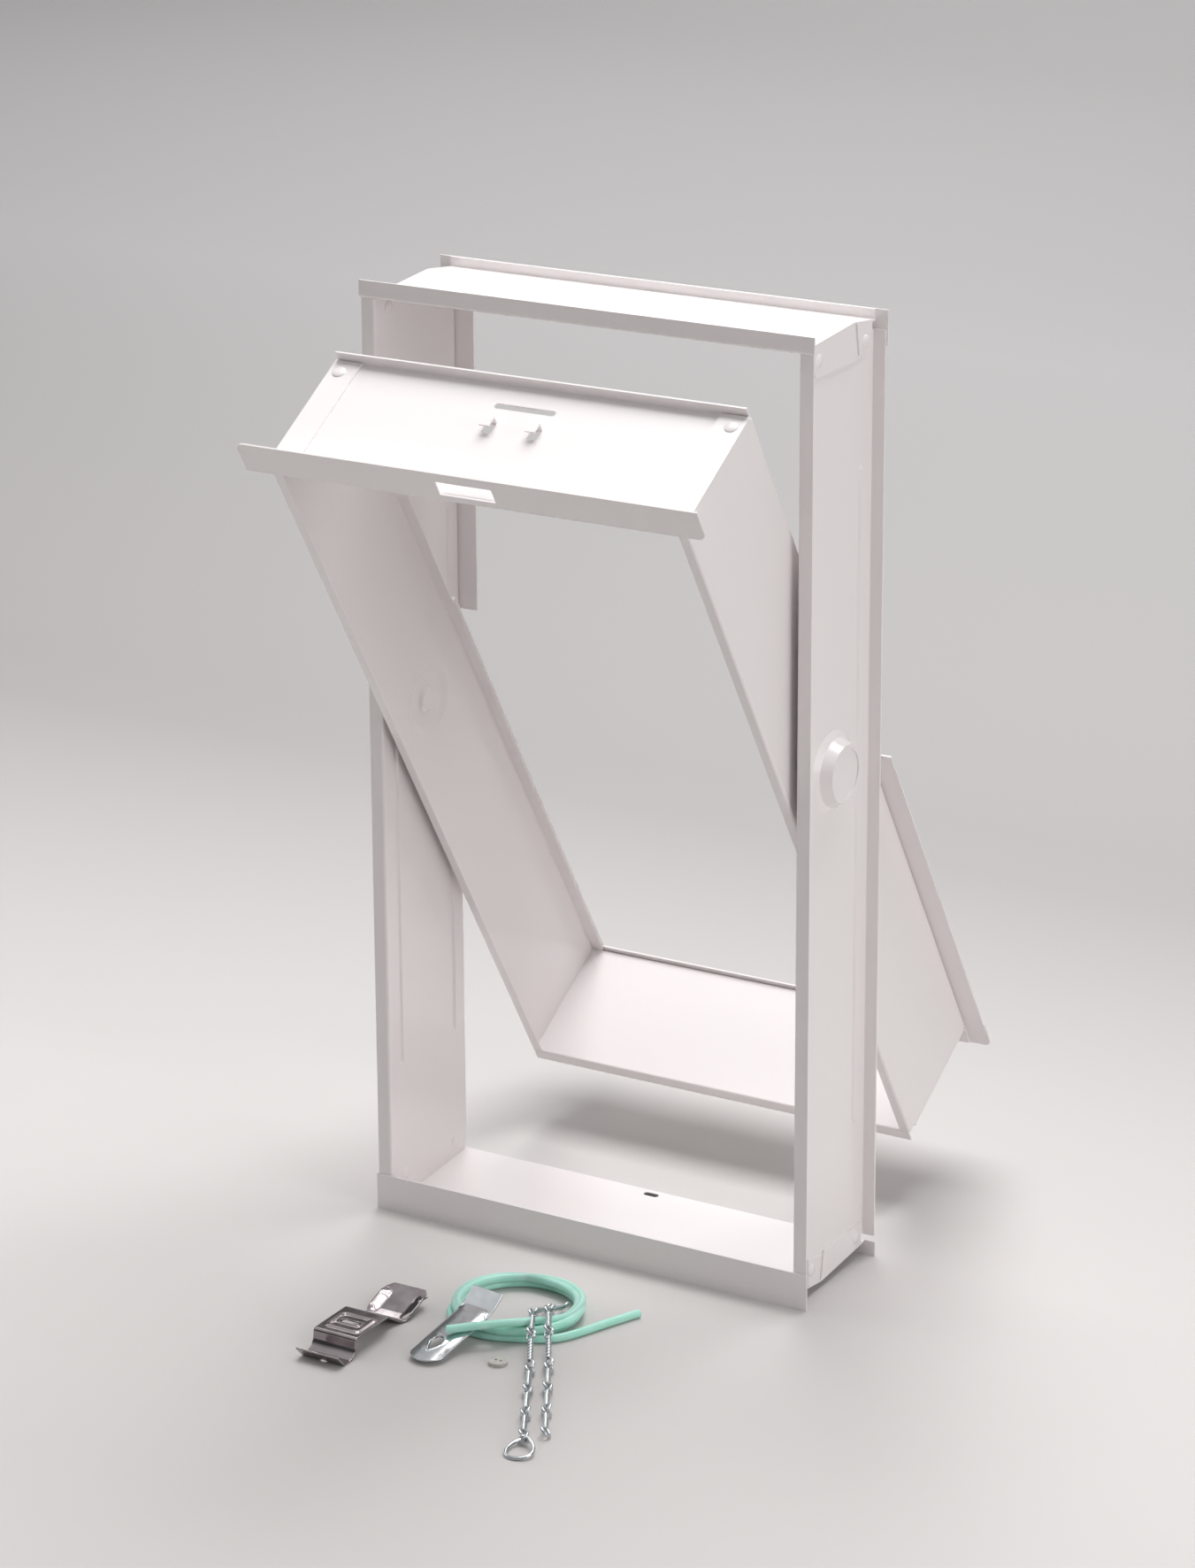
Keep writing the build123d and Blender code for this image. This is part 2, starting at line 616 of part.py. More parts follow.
# Pull handle, leaning on the coil
turn, slope = radians(HANDLE_TURN), radians(HANDLE_SLOPE)
handle_across = Vector(cos(turn), -sin(turn), 0)
handle_along = Vector(sin(turn) * cos(slope), cos(turn) * cos(slope), sin(slope))
handle_up = handle_across.cross(handle_along)
handle_plan = Plane(origin=HANDLE_PLACE, x_dir=handle_across, z_dir=handle_up)
handle_end = Plane(origin=HANDLE_PLACE, x_dir=handle_across, z_dir=-handle_along)
handle_side = Plane(origin=HANDLE_PLACE, x_dir=handle_along, z_dir=handle_across)
with BuildPart() as pull_handle:
    with BuildSketch(handle_end):
        with BuildLine():
            ThreePointArc((-HANDLE_WIDTH / 2, -HANDLE_CROWN), (0, 0), (HANDLE_WIDTH / 2, -HANDLE_CROWN))
        trace(line_width=HANDLE_SHEET)
    extrude(amount=-HANDLE_BODY)
    with BuildSketch(handle_plan.offset(-HANDLE_WIDTH)):
        with Locations((0, HANDLE_WIDTH / 2)):
            Circle(HANDLE_WIDTH / 2)
        with Locations((0, (HANDLE_BODY + HANDLE_WIDTH) / 2)):
            Rectangle(2 * HANDLE_WIDTH, HANDLE_BODY)
    extrude(amount=2 * HANDLE_WIDTH, mode=Mode.INTERSECT)
    with BuildSketch(handle_side):
        with BuildLine():
            FilletPolyline(
                (HANDLE_BODY - HANDLE_SHEET, -HANDLE_CROWN / 2),
                (HANDLE_BODY + HANDLE_LIP / 4, -HANDLE_CROWN / 2),
                (HANDLE_BODY + HANDLE_LIP, HANDLE_LIP_RISE),
                radius=HANDLE_SHEET,
            )
        trace(line_width=HANDLE_SHEET)
    extrude(amount=HANDLE_WIDTH / 2, both=True)
    with BuildSketch(handle_plan.offset(-HANDLE_WIDTH)):
        with Locations((0, HANDLE_HOLE_PLACE)):
            Circle(HANDLE_HOLE)
        with BuildLine():
            Polyline(
                (-HANDLE_HOLE, HANDLE_HOLE_PLACE),
                (0, HANDLE_HOLE_PLACE - HANDLE_HOLE_TAIL),
                (HANDLE_HOLE, HANDLE_HOLE_PLACE),
                close=True,
            )
        make_face()
    extrude(amount=2 * HANDLE_WIDTH, mode=Mode.SUBTRACT)
keep(pull_handle.part, "pull_handle")

# Vinyl tube: the coil as one closed ring, each end as a plain tube
with BuildPart() as tube_coil:
    with BuildSketch(Plane(origin=(*COIL_PLACE, 0), x_dir=(1, 0, 0), z_dir=(0, -1, 0))):
        with Locations(((COIL_INNER + COIL_OUTER) / 2, COIL_HEIGHT / 2)):
            Rectangle(COIL_OUTER - COIL_INNER, COIL_HEIGHT)
    revolve(axis=Axis((*COIL_PLACE, 0), (0, 0, 1)))
keep(tube_coil.part, "tube_coil")


def bend_radii(route):
    """Return the largest arc that the two runs allow at each inner point of a route."""
    radii = []
    for before, corner, after in zip(route, route[1:], route[2:]):
        run_in = Vector(*corner) - Vector(*before)
        run_out = Vector(*after) - Vector(*corner)
        half_turn = radians(run_in.get_angle(run_out)) / 2
        radii.append(0.45 * min(run_in.length, run_out.length) * cos(half_turn) / sin(half_turn))
    return radii


for name, route in (("tube_end_right", TUBE_END_RIGHT), ("tube_end_left", TUBE_END_LEFT)):
    print(name, "bend radii", [round(radius, 1) for radius in bend_radii(route)])
    with BuildPart() as tube_end:
        with BuildLine() as path:
            FilletPolyline(*route, radius=bend_radii(route))
        start = Vector(*route[0])
        with BuildSketch(Plane(origin=start, z_dir=Vector(*route[1]) - start)):
            Circle(TUBE_DIAMETER / 2)
        sweep(path=path.wires()[0])
    keep(tube_end.part, name)

# Button with two holes
with BuildPart() as button:
    with BuildSketch(Plane(origin=(*BUTTON_PLACE, 0))):
        Circle(BUTTON_RADIUS)
    extrude(amount=BUTTON_HEIGHT)
    with BuildSketch(Plane(origin=(*BUTTON_PLACE, 0))):
        with GridLocations(BUTTON_HOLE_SPACING, 0, 2, 1):
            Circle(BUTTON_HOLE)
    extrude(amount=BUTTON_HEIGHT, mode=Mode.SUBTRACT)
keep(button.part, "button")

# Chain: each link is a shank with a loop at each end, in plain facets. The loops of neighbouring links pass
# through each other with a little play.
loop_reach = LOOP_RADIUS - WIRE_RADIUS - LOOP_PLAY / 2
loop_place = LINK_PITCH / 2 - loop_reach


def leaning(middle, along, lean):
    """Return the plane of a loop at a place: its x lies along the chain, turned by the lean about it."""
    level = Vector(0, 0, 1).cross(along).normalized()
    return Plane(origin=middle, x_dir=along, z_dir=level.rotate(Axis((0, 0, 0), along), lean))


def strand(joints):
    """Build one strand, link by link at the same pitch, towards its hand-placed joints."""
    spot = Vector(*joints[0])
    with BuildPart() as links:
        for count, joint in enumerate(joints[1:]):
            along = (Vector(*joint) - spot).normalized()
            lean = LOOP_LEAN if count % 2 else -LOOP_LEAN
            flat = leaning(spot + along * (LINK_PITCH / 2), along, lean)
            spot = spot + along * LINK_PITCH
            with BuildSketch(flat):
                with Locations((-loop_place, 0), (loop_place, 0)):
                    RegularPolygon(LOOP_RADIUS + WIRE_RADIUS, LOOP_SIDES)
                    RegularPolygon(LOOP_RADIUS - WIRE_RADIUS, LOOP_SIDES, mode=Mode.SUBTRACT)
            extrude(amount=WIRE_RADIUS, both=True)
            with BuildSketch(Plane(origin=flat.origin, x_dir=flat.y_dir, z_dir=along)):
                RegularPolygon(SHANK_RADIUS, SHANK_SIDES)
            extrude(amount=loop_place - LOOP_RADIUS, both=True)
    return links.part


keep(strand(STRAND_NEAR), "chain_near")
keep(strand(STRAND_FAR), "chain_far")

# The joining ring hangs in the first loop of the near strand, and the pull ring in the joining ring
chain_start = Vector(*STRAND_NEAR[0])
onward = (chain_start - Vector(*STRAND_NEAR[1])).normalized()
joining_place = LOOP_RADIUS - WIRE_RADIUS + JOINING_RADIUS - JOINING_WIRE - LOOP_PLAY - loop_reach
joining_centre = chain_start + onward * joining_place
with BuildPart() as joining_ring:
    with BuildSketch(leaning(joining_centre, onward, -LOOP_LEAN)):
        RegularPolygon(JOINING_RADIUS + JOINING_WIRE, LOOP_SIDES)
        RegularPolygon(JOINING_RADIUS - JOINING_WIRE, LOOP_SIDES, mode=Mode.SUBTRACT)
    extrude(amount=JOINING_WIRE, both=True)
keep(joining_ring.part, "joining_ring")

pull_turn = radians(PULL_RING_TURN)
pull_middle = PULL_RING_LENGTH / 2 - PULL_RING_WIRE
loop_end = LOOP_RADIUS + WIRE_RADIUS - joining_place - loop_reach
pull_top = joining_centre + onward * (loop_end + PULL_RING_WIRE + PULL_RING_PLAY)
pull_fall = pull_top.Z - PULL_RING_WIRE
pull_run = (4 * pull_middle ** 2 - pull_fall ** 2) ** 0.5
pull_along = Vector(cos(pull_turn) * pull_run, sin(pull_turn) * pull_run, -pull_fall).normalized()
pull_plane = Plane(
    origin=pull_top + pull_along * pull_middle,
    x_dir=pull_along,
    z_dir=pull_along.cross(Vector(0, 0, 1).cross(pull_along)),
)
with BuildPart() as pull_ring:
    with BuildSketch(pull_plane):
        SlotOverall(PULL_RING_LENGTH, PULL_RING_WIDTH)
        SlotOverall(
            PULL_RING_LENGTH - 4 * PULL_RING_WIRE,
            PULL_RING_WIDTH - 4 * PULL_RING_WIRE,
            mode=Mode.SUBTRACT,
        )
    extrude(amount=PULL_RING_WIRE, both=True)
    chamfer(pull_ring.edges().filter_by(GeomType.LINE, reverse=True), length=PULL_RING_WIRE / 2)
keep(pull_ring.part, "pull_ring")
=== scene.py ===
"""Looks of a glass block vent window: enamelled frame and tilting sash, with its loose fittings.

The frame is loaded as it was packed, and its pieces get their finishes. What the solids leave plain is made
here: rivet heads, the latch clip, the pull handle, the twisted wire of the chain, its rings and the tube.
All sizes are in metres, or in millimetres where a docstring or MM says so, in the frame of the part:
X across, Y from front to back, Z up.
"""
from __future__ import annotations

import logging
from dataclasses import dataclass, field
from enum import Enum
from math import cos, pi, radians, sin
from typing import Sequence

import bpy
import numpy as np
from mathutils import Matrix, Vector


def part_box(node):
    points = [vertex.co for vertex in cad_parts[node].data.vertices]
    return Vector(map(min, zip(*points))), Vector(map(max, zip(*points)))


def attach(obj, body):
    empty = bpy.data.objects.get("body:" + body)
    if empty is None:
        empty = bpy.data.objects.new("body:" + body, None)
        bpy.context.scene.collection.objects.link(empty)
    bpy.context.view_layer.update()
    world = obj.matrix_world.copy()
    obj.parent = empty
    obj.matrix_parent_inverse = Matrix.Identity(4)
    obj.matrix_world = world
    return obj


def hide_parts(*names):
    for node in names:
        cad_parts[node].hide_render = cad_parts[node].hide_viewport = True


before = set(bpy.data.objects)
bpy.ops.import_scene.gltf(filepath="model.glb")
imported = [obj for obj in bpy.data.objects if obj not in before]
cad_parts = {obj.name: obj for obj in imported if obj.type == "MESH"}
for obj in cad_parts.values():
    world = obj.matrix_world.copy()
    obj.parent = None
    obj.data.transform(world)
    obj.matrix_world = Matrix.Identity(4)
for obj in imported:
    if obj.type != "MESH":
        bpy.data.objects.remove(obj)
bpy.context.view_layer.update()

logging.basicConfig(level=logging.INFO, format="%(message)s")
LOG = logging.getLogger("vent_window")

MM = 0.001
PHOTO_HEIGHT = 1772
BUMP_HEIGHT = 0.1 * MM
NOISE_MIDDLE = (0.3, 0.7)
FULL_RANGE = (0.0, 1.0)
OFF_AXIS = (0.31, 0.17, 0.93)
MIX_FIRST, MIX_SECOND = 6, 7
MIX_COLOUR = 2
HOLE_MIDDLE = 0.1
HOLE_EDGE = 0.999


class Body(str, Enum):
    """The two moving groups of the window."""

    FRAME = "frame"
    SASH = "sash"


class Slot(str, Enum):
    """The names of the material slots."""

    ENAMEL = "white_enamel"
    ZINC = "zinc_plate"
    DARK_STEEL = "dark_steel"
    VINYL = "green_vinyl"
    BUTTON = "button_plastic"


# Mesh surfaces

def grid_faces(rows: int, columns: int, close_rows: bool, close_columns: bool) -> np.ndarray:
    """Number the four corners of each cell of a grid of points.

    Args:
        rows: Points along the first parameter.
        columns: Points along the second parameter.
        close_rows: Whether the last row joins the first one.
        close_columns: Whether the last column joins the first one.

    Returns:
        An array of four vertex numbers a face.
    """
    row, column = np.meshgrid(
        np.arange(rows if close_rows else rows - 1),
        np.arange(columns if close_columns else columns - 1),
        indexing="ij",
    )
    next_row, next_column = (row + 1) % rows, (column + 1) % columns
    corners = (
        row * columns + column,
        next_row * columns + column,
        next_row * columns + next_column,
        row * columns + next_column,
    )
    return np.stack(corners, axis=-1).reshape(-1, 4)


@dataclass
class MeshDraft:
    """A mesh that is being put together from surfaces worked out as whole arrays."""

    name: str
    points: list[np.ndarray] = field(default_factory=list)
    faces: list[tuple[int, ...]] = field(default_factory=list)
    total: int = 0

    def add_cells(self, points: np.ndarray, cells: np.ndarray) -> None:
        """Add points and the faces between them.

        Args:
            points: Points as rows by columns by 3.
            cells: The corners of each face, numbered from the first of these points.
        """
        self.faces += [tuple(cell) for cell in (cells + self.total).tolist()]
        self.points.append(points.reshape(-1, 3))
        self.total += len(self.points[-1])

    def add_tube(self, grid: np.ndarray, close_rows: bool = False, cap_ends: bool = False) -> None:
        """Add a grid of points as a surface whose last column joins the first one.

        Args:
            grid: Points as rows by columns by 3.
            close_rows: Whether the last row joins the first one too.
            cap_ends: Whether the first and the last row are closed by one face each.
        """
        rows, columns = grid.shape[:2]
        first = np.arange(columns) + self.total
        self.add_cells(grid, grid_faces(rows, columns, close_rows, True))
        if cap_ends:
            self.faces.append(tuple(first.tolist()))
            self.faces.append(tuple((first[::-1] + (rows - 1) * columns).tolist()))

    def finish(self, body: Body, material: bpy.types.Material) -> bpy.types.Object:
        """Make the object with smooth faces, let it ride on its body and give it its finish.

        Args:
            body: The body that carries the piece.
            material: The finish.

        Returns:
            The new object, at the origin, with its place in its mesh.
        """
        mesh = bpy.data.meshes.new(self.name)
        mesh.from_pydata(np.concatenate(self.points).tolist(), [], self.faces)
        mesh.polygons.foreach_set("use_smooth", np.full(len(mesh.polygons), True))
        mesh.materials.append(material)
        mesh.validate()
        mesh.update()
        piece = bpy.data.objects.new(self.name, mesh)
        bpy.context.scene.collection.objects.link(piece)
        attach(piece, body.value)
        LOG.info("%s: %d faces", self.name, len(mesh.polygons))
        return piece


def unit(vectors: np.ndarray) -> np.ndarray:
    """Scale vectors to length one, along their last axis."""
    return vectors / np.linalg.norm(vectors, axis=-1, keepdims=True)


def tube_grid(path: np.ndarray, radius: float, sides: int, up: Sequence[float],
              closed: bool = False) -> np.ndarray:
    """Carry a circle along a path.

    A point is path(s) + r * (cos(a) * side(s) + sin(a) * over(s)), where side is the path's direction
    crossed with a fixed up vector and over is side crossed with the direction.

    Args:
        path: Points of the centre line.
        radius: The tube's radius.
        sides: Points round the tube.
        up: A vector that the path never runs along.
        closed: Whether the path is a closed loop.

    Returns:
        A grid of points, one row a path point.
    """
    if closed:
        ahead = unit(np.roll(path, -1, axis=0) - np.roll(path, 1, axis=0))
    else:
        ahead = unit(np.gradient(path, axis=0))
    side = unit(np.cross(ahead, np.asarray(up, float)))
    over = np.cross(side, ahead)
    angle = np.linspace(0, 2 * pi, sides, endpoint=False)
    ring = np.cos(angle)[None, :, None] * side[:, None, :] + np.sin(angle)[None, :, None] * over[:, None, :]
    return path[:, None, :] + radius * ring


def dome_grid(centre: np.ndarray, outward: np.ndarray, radius: float, height: float,
              sides: int = 24, rings: int = 7, last_ring: float = 0.47 * pi) -> np.ndarray:
    """Make a low dome, such as a rivet's head.

    A point is centre + r * cos(t) * (cos(a) * u + sin(a) * v) + h * sin(t) * n, with u and v square to the
    outward direction n, and t from 0 at the rim to just short of a quarter turn at the crown.

    Args:
        centre: The middle of the dome's foot.
        outward: The direction that it stands out in.
        radius: The foot's radius.
        height: How far it stands out.
        sides: Points round it.
        rings: Rows from the rim to the crown.
        last_ring: The angle t of the last row.

    Returns:
        A grid of points from the foot to the crown.
    """
    normal = unit(np.asarray(outward, float))
    first = unit(np.cross(normal, OFF_AXIS))
    second = np.cross(normal, first)
    rise = np.linspace(0, last_ring, rings)[:, None, None]
    angle = np.linspace(0, 2 * pi, sides, endpoint=False)[None, :, None]
    flat = np.cos(angle) * first + np.sin(angle) * second
    return np.asarray(centre) + radius * np.cos(rise) * flat + height * np.sin(rise) * normal


def rounded_line(corners: Sequence[Sequence[float]], radii: Sequence[float], steps: int = 12) -> np.ndarray:
    """Round the corners of a flat line with arcs.

    An arc's centre is corner + r / cos(turn / 2) * inward, and its points are
    centre - r * (cos(s) * inward - sin(s) * side), with s from minus to plus half the turn.

    Args:
        corners: The line's points.
        radii: The radius at each inner point.
        steps: Points an arc.

    Returns:
        The points of the rounded line.
    """
    points = np.asarray(corners, float)
    stretches = [points[:1]]
    for before, corner, after, radius in zip(points, points[1:], points[2:], radii):
        back, onward = unit(before - corner), unit(after - corner)
        turn = pi - np.arccos(np.clip(back @ onward, -1, 1))
        inward, side = unit(back + onward), unit(onward - back)
        centre = corner + inward * radius / np.cos(turn / 2)
        swing = np.linspace(-turn / 2, turn / 2, steps)[:, None]
        stretches.append(centre - radius * (np.cos(swing) * inward - np.sin(swing) * side))
    stretches.append(points[-1:])
    return np.concatenate(stretches)


def smooth_step(value: np.ndarray, low: float, high: float) -> np.ndarray:
    """Rise from 0 at the low end to 1 at the high end as 3 * s^2 - 2 * s^3."""
    share = np.clip((value - low) / (high - low), 0, 1)
    return share * share * (3 - 2 * share)


# Finishes

class NodeTree:
    """A small helper that adds nodes to a tree and links them."""

    def __init__(self, tree: bpy.types.NodeTree) -> None:
        """Start from a material's or a world's tree."""
        self.tree = tree

    def add(self, kind: str, **settings: object) -> bpy.types.Node:
        """Add a node and set its sockets by name, and its properties where no socket has that name.

        Args:
            kind: The node's type.
            settings: Values by name, with _ for a space in a socket's name.

        Returns:
            The node.
        """
        node = self.tree.nodes.new(kind)
        for key, value in settings.items():
            socket = node.inputs.get(key.replace("_", " "))
            if socket is not None and not hasattr(node, key):
                socket.default_value = value
            else:
                setattr(node, key, value)
        return node

    def link(self, source: bpy.types.Node, output: str | int, target: bpy.types.Node,
             socket: str | int) -> None:
        """Join an output of one node to an input of another."""
        self.tree.links.new(source.outputs[output], target.inputs[socket])

    def ramp(self, source: bpy.types.Node, output: str, read: tuple[float, float],
             given: tuple[float, float]) -> bpy.types.Node:
        """Map an output from one range to another.

        Args:
            source: The node that is read.
            output: Its output.
            read: The range that is read.
            given: The range that is given.

        Returns:
            The map range node.
        """
        node = self.add("ShaderNodeMapRange")
        for socket, value in zip(("From Min", "From Max", "To Min", "To Max"), (*read, *given)):
            node.inputs[socket].default_value = value
        self.link(source, output, node, "Value")
        return node


@dataclass(frozen=True)
class Pattern:
    """A noise: its waves a metre, its octaves, and how much it is squeezed along each axis."""

    scale: float
    detail: float = 3.0
    squeeze: tuple[float, float, float] = (1.0, 1.0, 1.0)


class Nodes(NodeTree):
    """The nodes of one material."""

    def __init__(self, name: str, sockets: dict[str, float | Sequence[float]]) -> None:
        """Start a material with a plain surface shader.

        Args:
            name: The material's name.
            sockets: Values of the shader's sockets.
        """
        self.material = bpy.data.materials.new(name)
        self.material.use_nodes = True
        super().__init__(self.material.node_tree)
        self.shader = self.tree.nodes["Principled BSDF"]
        for socket, value in sockets.items():
            self.shader.inputs[socket].default_value = value

    def noise(self, pattern: Pattern) -> bpy.types.Node:
        """Add a noise on object coordinates.

        Args:
            pattern: The noise's pattern.

        Returns:
            The noise node.
        """
        mapping = self.add("ShaderNodeMapping", Scale=pattern.squeeze)
        self.link(self.add("ShaderNodeTexCoord"), "Object", mapping, "Vector")
        noise = self.add("ShaderNodeTexNoise", Scale=pattern.scale, Detail=pattern.detail)
        self.link(mapping, "Vector", noise, "Vector")
        return noise

    def mix(self, factor: bpy.types.Node, first: Sequence[float],
            second: Sequence[float]) -> bpy.types.Node:
        """Mix two colours by a factor.

        Args:
            factor: The node that gives the factor.
            first: The colour at 0.
            second: The colour at 1.

        Returns:
            The mix node, whose colour is its output MIX_COLOUR.
        """
        node = self.add("ShaderNodeMix", data_type="RGBA")
        node.inputs[MIX_FIRST].default_value = (*first, 1)
        node.inputs[MIX_SECOND].default_value = (*second, 1)
        self.link(factor, 0, node, 0)
        return node


@dataclass(frozen=True)
class Finish:
    """A finish: noises mix its two colours, set its roughness between two values and raise its surface."""

    name: str
    colours: tuple[tuple[float, float, float], tuple[float, float, float]]
    roughness: tuple[float, float]
    tint: Pattern
    gloss: Pattern
    relief: Pattern
    strength: float
    tint_range: tuple[float, float] = NOISE_MIDDLE
    gloss_range: tuple[float, float] = NOISE_MIDDLE
    sockets: dict[str, float | Sequence[float]] = field(default_factory=dict)

    def material(self) -> bpy.types.Material:
        """Build the finish.

        Returns:
            The material.
        """
        nodes = Nodes(self.name, self.sockets)
        patterns = dict.fromkeys((self.tint, self.gloss, self.relief))
        noises = {pattern: nodes.noise(pattern) for pattern in patterns}
        shade = nodes.ramp(noises[self.tint], "Fac", self.tint_range, FULL_RANGE)
        nodes.link(nodes.mix(shade, *self.colours), MIX_COLOUR, nodes.shader, "Base Color")
        rough = nodes.ramp(noises[self.gloss], "Fac", self.gloss_range, self.roughness)
        nodes.link(rough, "Result", nodes.shader, "Roughness")
        bump = nodes.add("ShaderNodeBump", Strength=self.strength, Distance=BUMP_HEIGHT)
        nodes.link(noises[self.relief], "Fac", bump, "Height")
        nodes.link(bump, "Normal", nodes.shader, "Normal")
        return nodes.material


@dataclass
class Finishes:
    """All the finishes of the window, made once.

    The enamel is baked, with faint clouds and a faint orange peel. The two metals are mottled and have
    rolling marks. The vinyl is soft and translucent, and the button is of pale moulded plastic.
    Each roughness stays on one side of 0.274, where the render's noise filter would draw an outline.
    """

    enamel: bpy.types.Material = field(default_factory=Finish(
        "white_enamel", ((0.87, 0.827, 0.825), (0.85, 0.807, 0.804)), roughness=(0.20, 0.27),
        tint=Pattern(5, 1), gloss=Pattern(5, 1), relief=Pattern(600, 1), strength=0.03,
        tint_range=FULL_RANGE, gloss_range=FULL_RANGE,
        sockets={"Coat Weight": 0.2, "Coat Roughness": 0.12},
    ).material)
    zinc: bpy.types.Material = field(default_factory=Finish(
        "zinc_plate", ((0.66, 0.69, 0.71), (0.52, 0.55, 0.57)), roughness=(0.096, 0.24),
        tint=Pattern(45), gloss=Pattern(240, 4), relief=Pattern(240, 4), strength=0.06,
        tint_range=(0.35, 0.75), sockets={"Metallic": 1.0},
    ).material)
    dark_steel: bpy.types.Material = field(default_factory=Finish(
        "dark_steel", ((0.42, 0.38, 0.39), (0.22, 0.19, 0.20)), roughness=(0.084, 0.21),
        tint=Pattern(45), gloss=Pattern(240, 4, (1.0, 0.15, 1.0)), relief=Pattern(240, 4, (1.0, 0.15, 1.0)),
        strength=0.06, tint_range=(0.35, 0.75), sockets={"Metallic": 1.0},
    ).material)
    vinyl: bpy.types.Material = field(default_factory=Finish(
        "green_vinyl", ((0.38, 0.78, 0.64), (0.50, 0.86, 0.74)), roughness=(0.29, 0.38),
        tint=Pattern(90), gloss=Pattern(90), relief=Pattern(500, 2), strength=0.03,
        sockets={"Subsurface Weight": 0.3, "Subsurface Radius": (0.5, 1.0, 0.8),
                 "Subsurface Scale": 4 * MM, "IOR": 1.45},
    ).material)
    button: bpy.types.Material = field(default_factory=Finish(
        "button_plastic", ((0.62, 0.60, 0.56), (0.5084, 0.492, 0.4592)), roughness=(0.29, 0.40),
        tint=Pattern(300), gloss=Pattern(300), relief=Pattern(300), strength=0.08,
        sockets={"Subsurface Weight": 0.2, "Subsurface Scale": 2 * MM},
    ).material)


def dress(node: str, material: bpy.types.Material) -> None:
    """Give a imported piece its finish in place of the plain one.

    Args:
        node: The piece's name.
        material: The finish.
    """
    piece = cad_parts[node]
    if not piece.material_slots:
        piece.data.materials.append(material)
    for holder in piece.material_slots:
        holder.material = material
    LOG.info("%s dressed in %s", node, material.name)


# The camera

@dataclass(frozen=True)
class PhotoCamera:
    """The camera that sees the window as the photograph does.

    Lengths are in metres and angles in degrees. The focal length and the row of the lens's centre are in
    pixels of the photograph, which is taller than wide, and the sensor's longer side is in millimetres.
    """

    focal: float = 5241.07
    azimuth: float = 30.687
    elevation: float = 16.939
    roll: float = -0.32
    target: tuple[float, float, float] = (0.0, 0.0, 0.321)
    offset: tuple[float, float] = (0.009102, 0.10916)
    distance: float = 2.96671
    centre_row: float = 709.0
    sensor: float = 36.0
    clip: tuple[float, float] = (0.1, 60.0)

    def place(self) -> bpy.types.Object:
        """Make the camera and look through it.

        Returns:
            The camera's object.
        """
        a, e, r = radians(self.azimuth), radians(self.elevation), radians(self.roll)
        forward = Vector((-sin(a) * cos(e), cos(a) * cos(e), -sin(e)))
        level = Vector((cos(a), sin(a), 0))
        upright = level.cross(forward)
        right = level * cos(r) + upright * sin(r)
        up = upright * cos(r) - level * sin(r)
        spot = Vector(self.target) + right * self.offset[0] + up * self.offset[1] - forward * self.distance
        data = bpy.data.cameras.new("photo_camera")
        data.sensor_width = self.sensor
        data.lens = self.focal * self.sensor / PHOTO_HEIGHT
        data.shift_y = (self.centre_row - PHOTO_HEIGHT / 2) / PHOTO_HEIGHT
        data.clip_start, data.clip_end = self.clip
        camera = bpy.data.objects.new("photo_camera", data)
        turn = Matrix((right, up, -forward)).transposed()
        camera.matrix_world = Matrix.Translation(spot) @ turn.to_4x4()
        bpy.context.scene.collection.objects.link(camera)
        bpy.context.scene.camera = camera
        return camera


# The vinyl tube

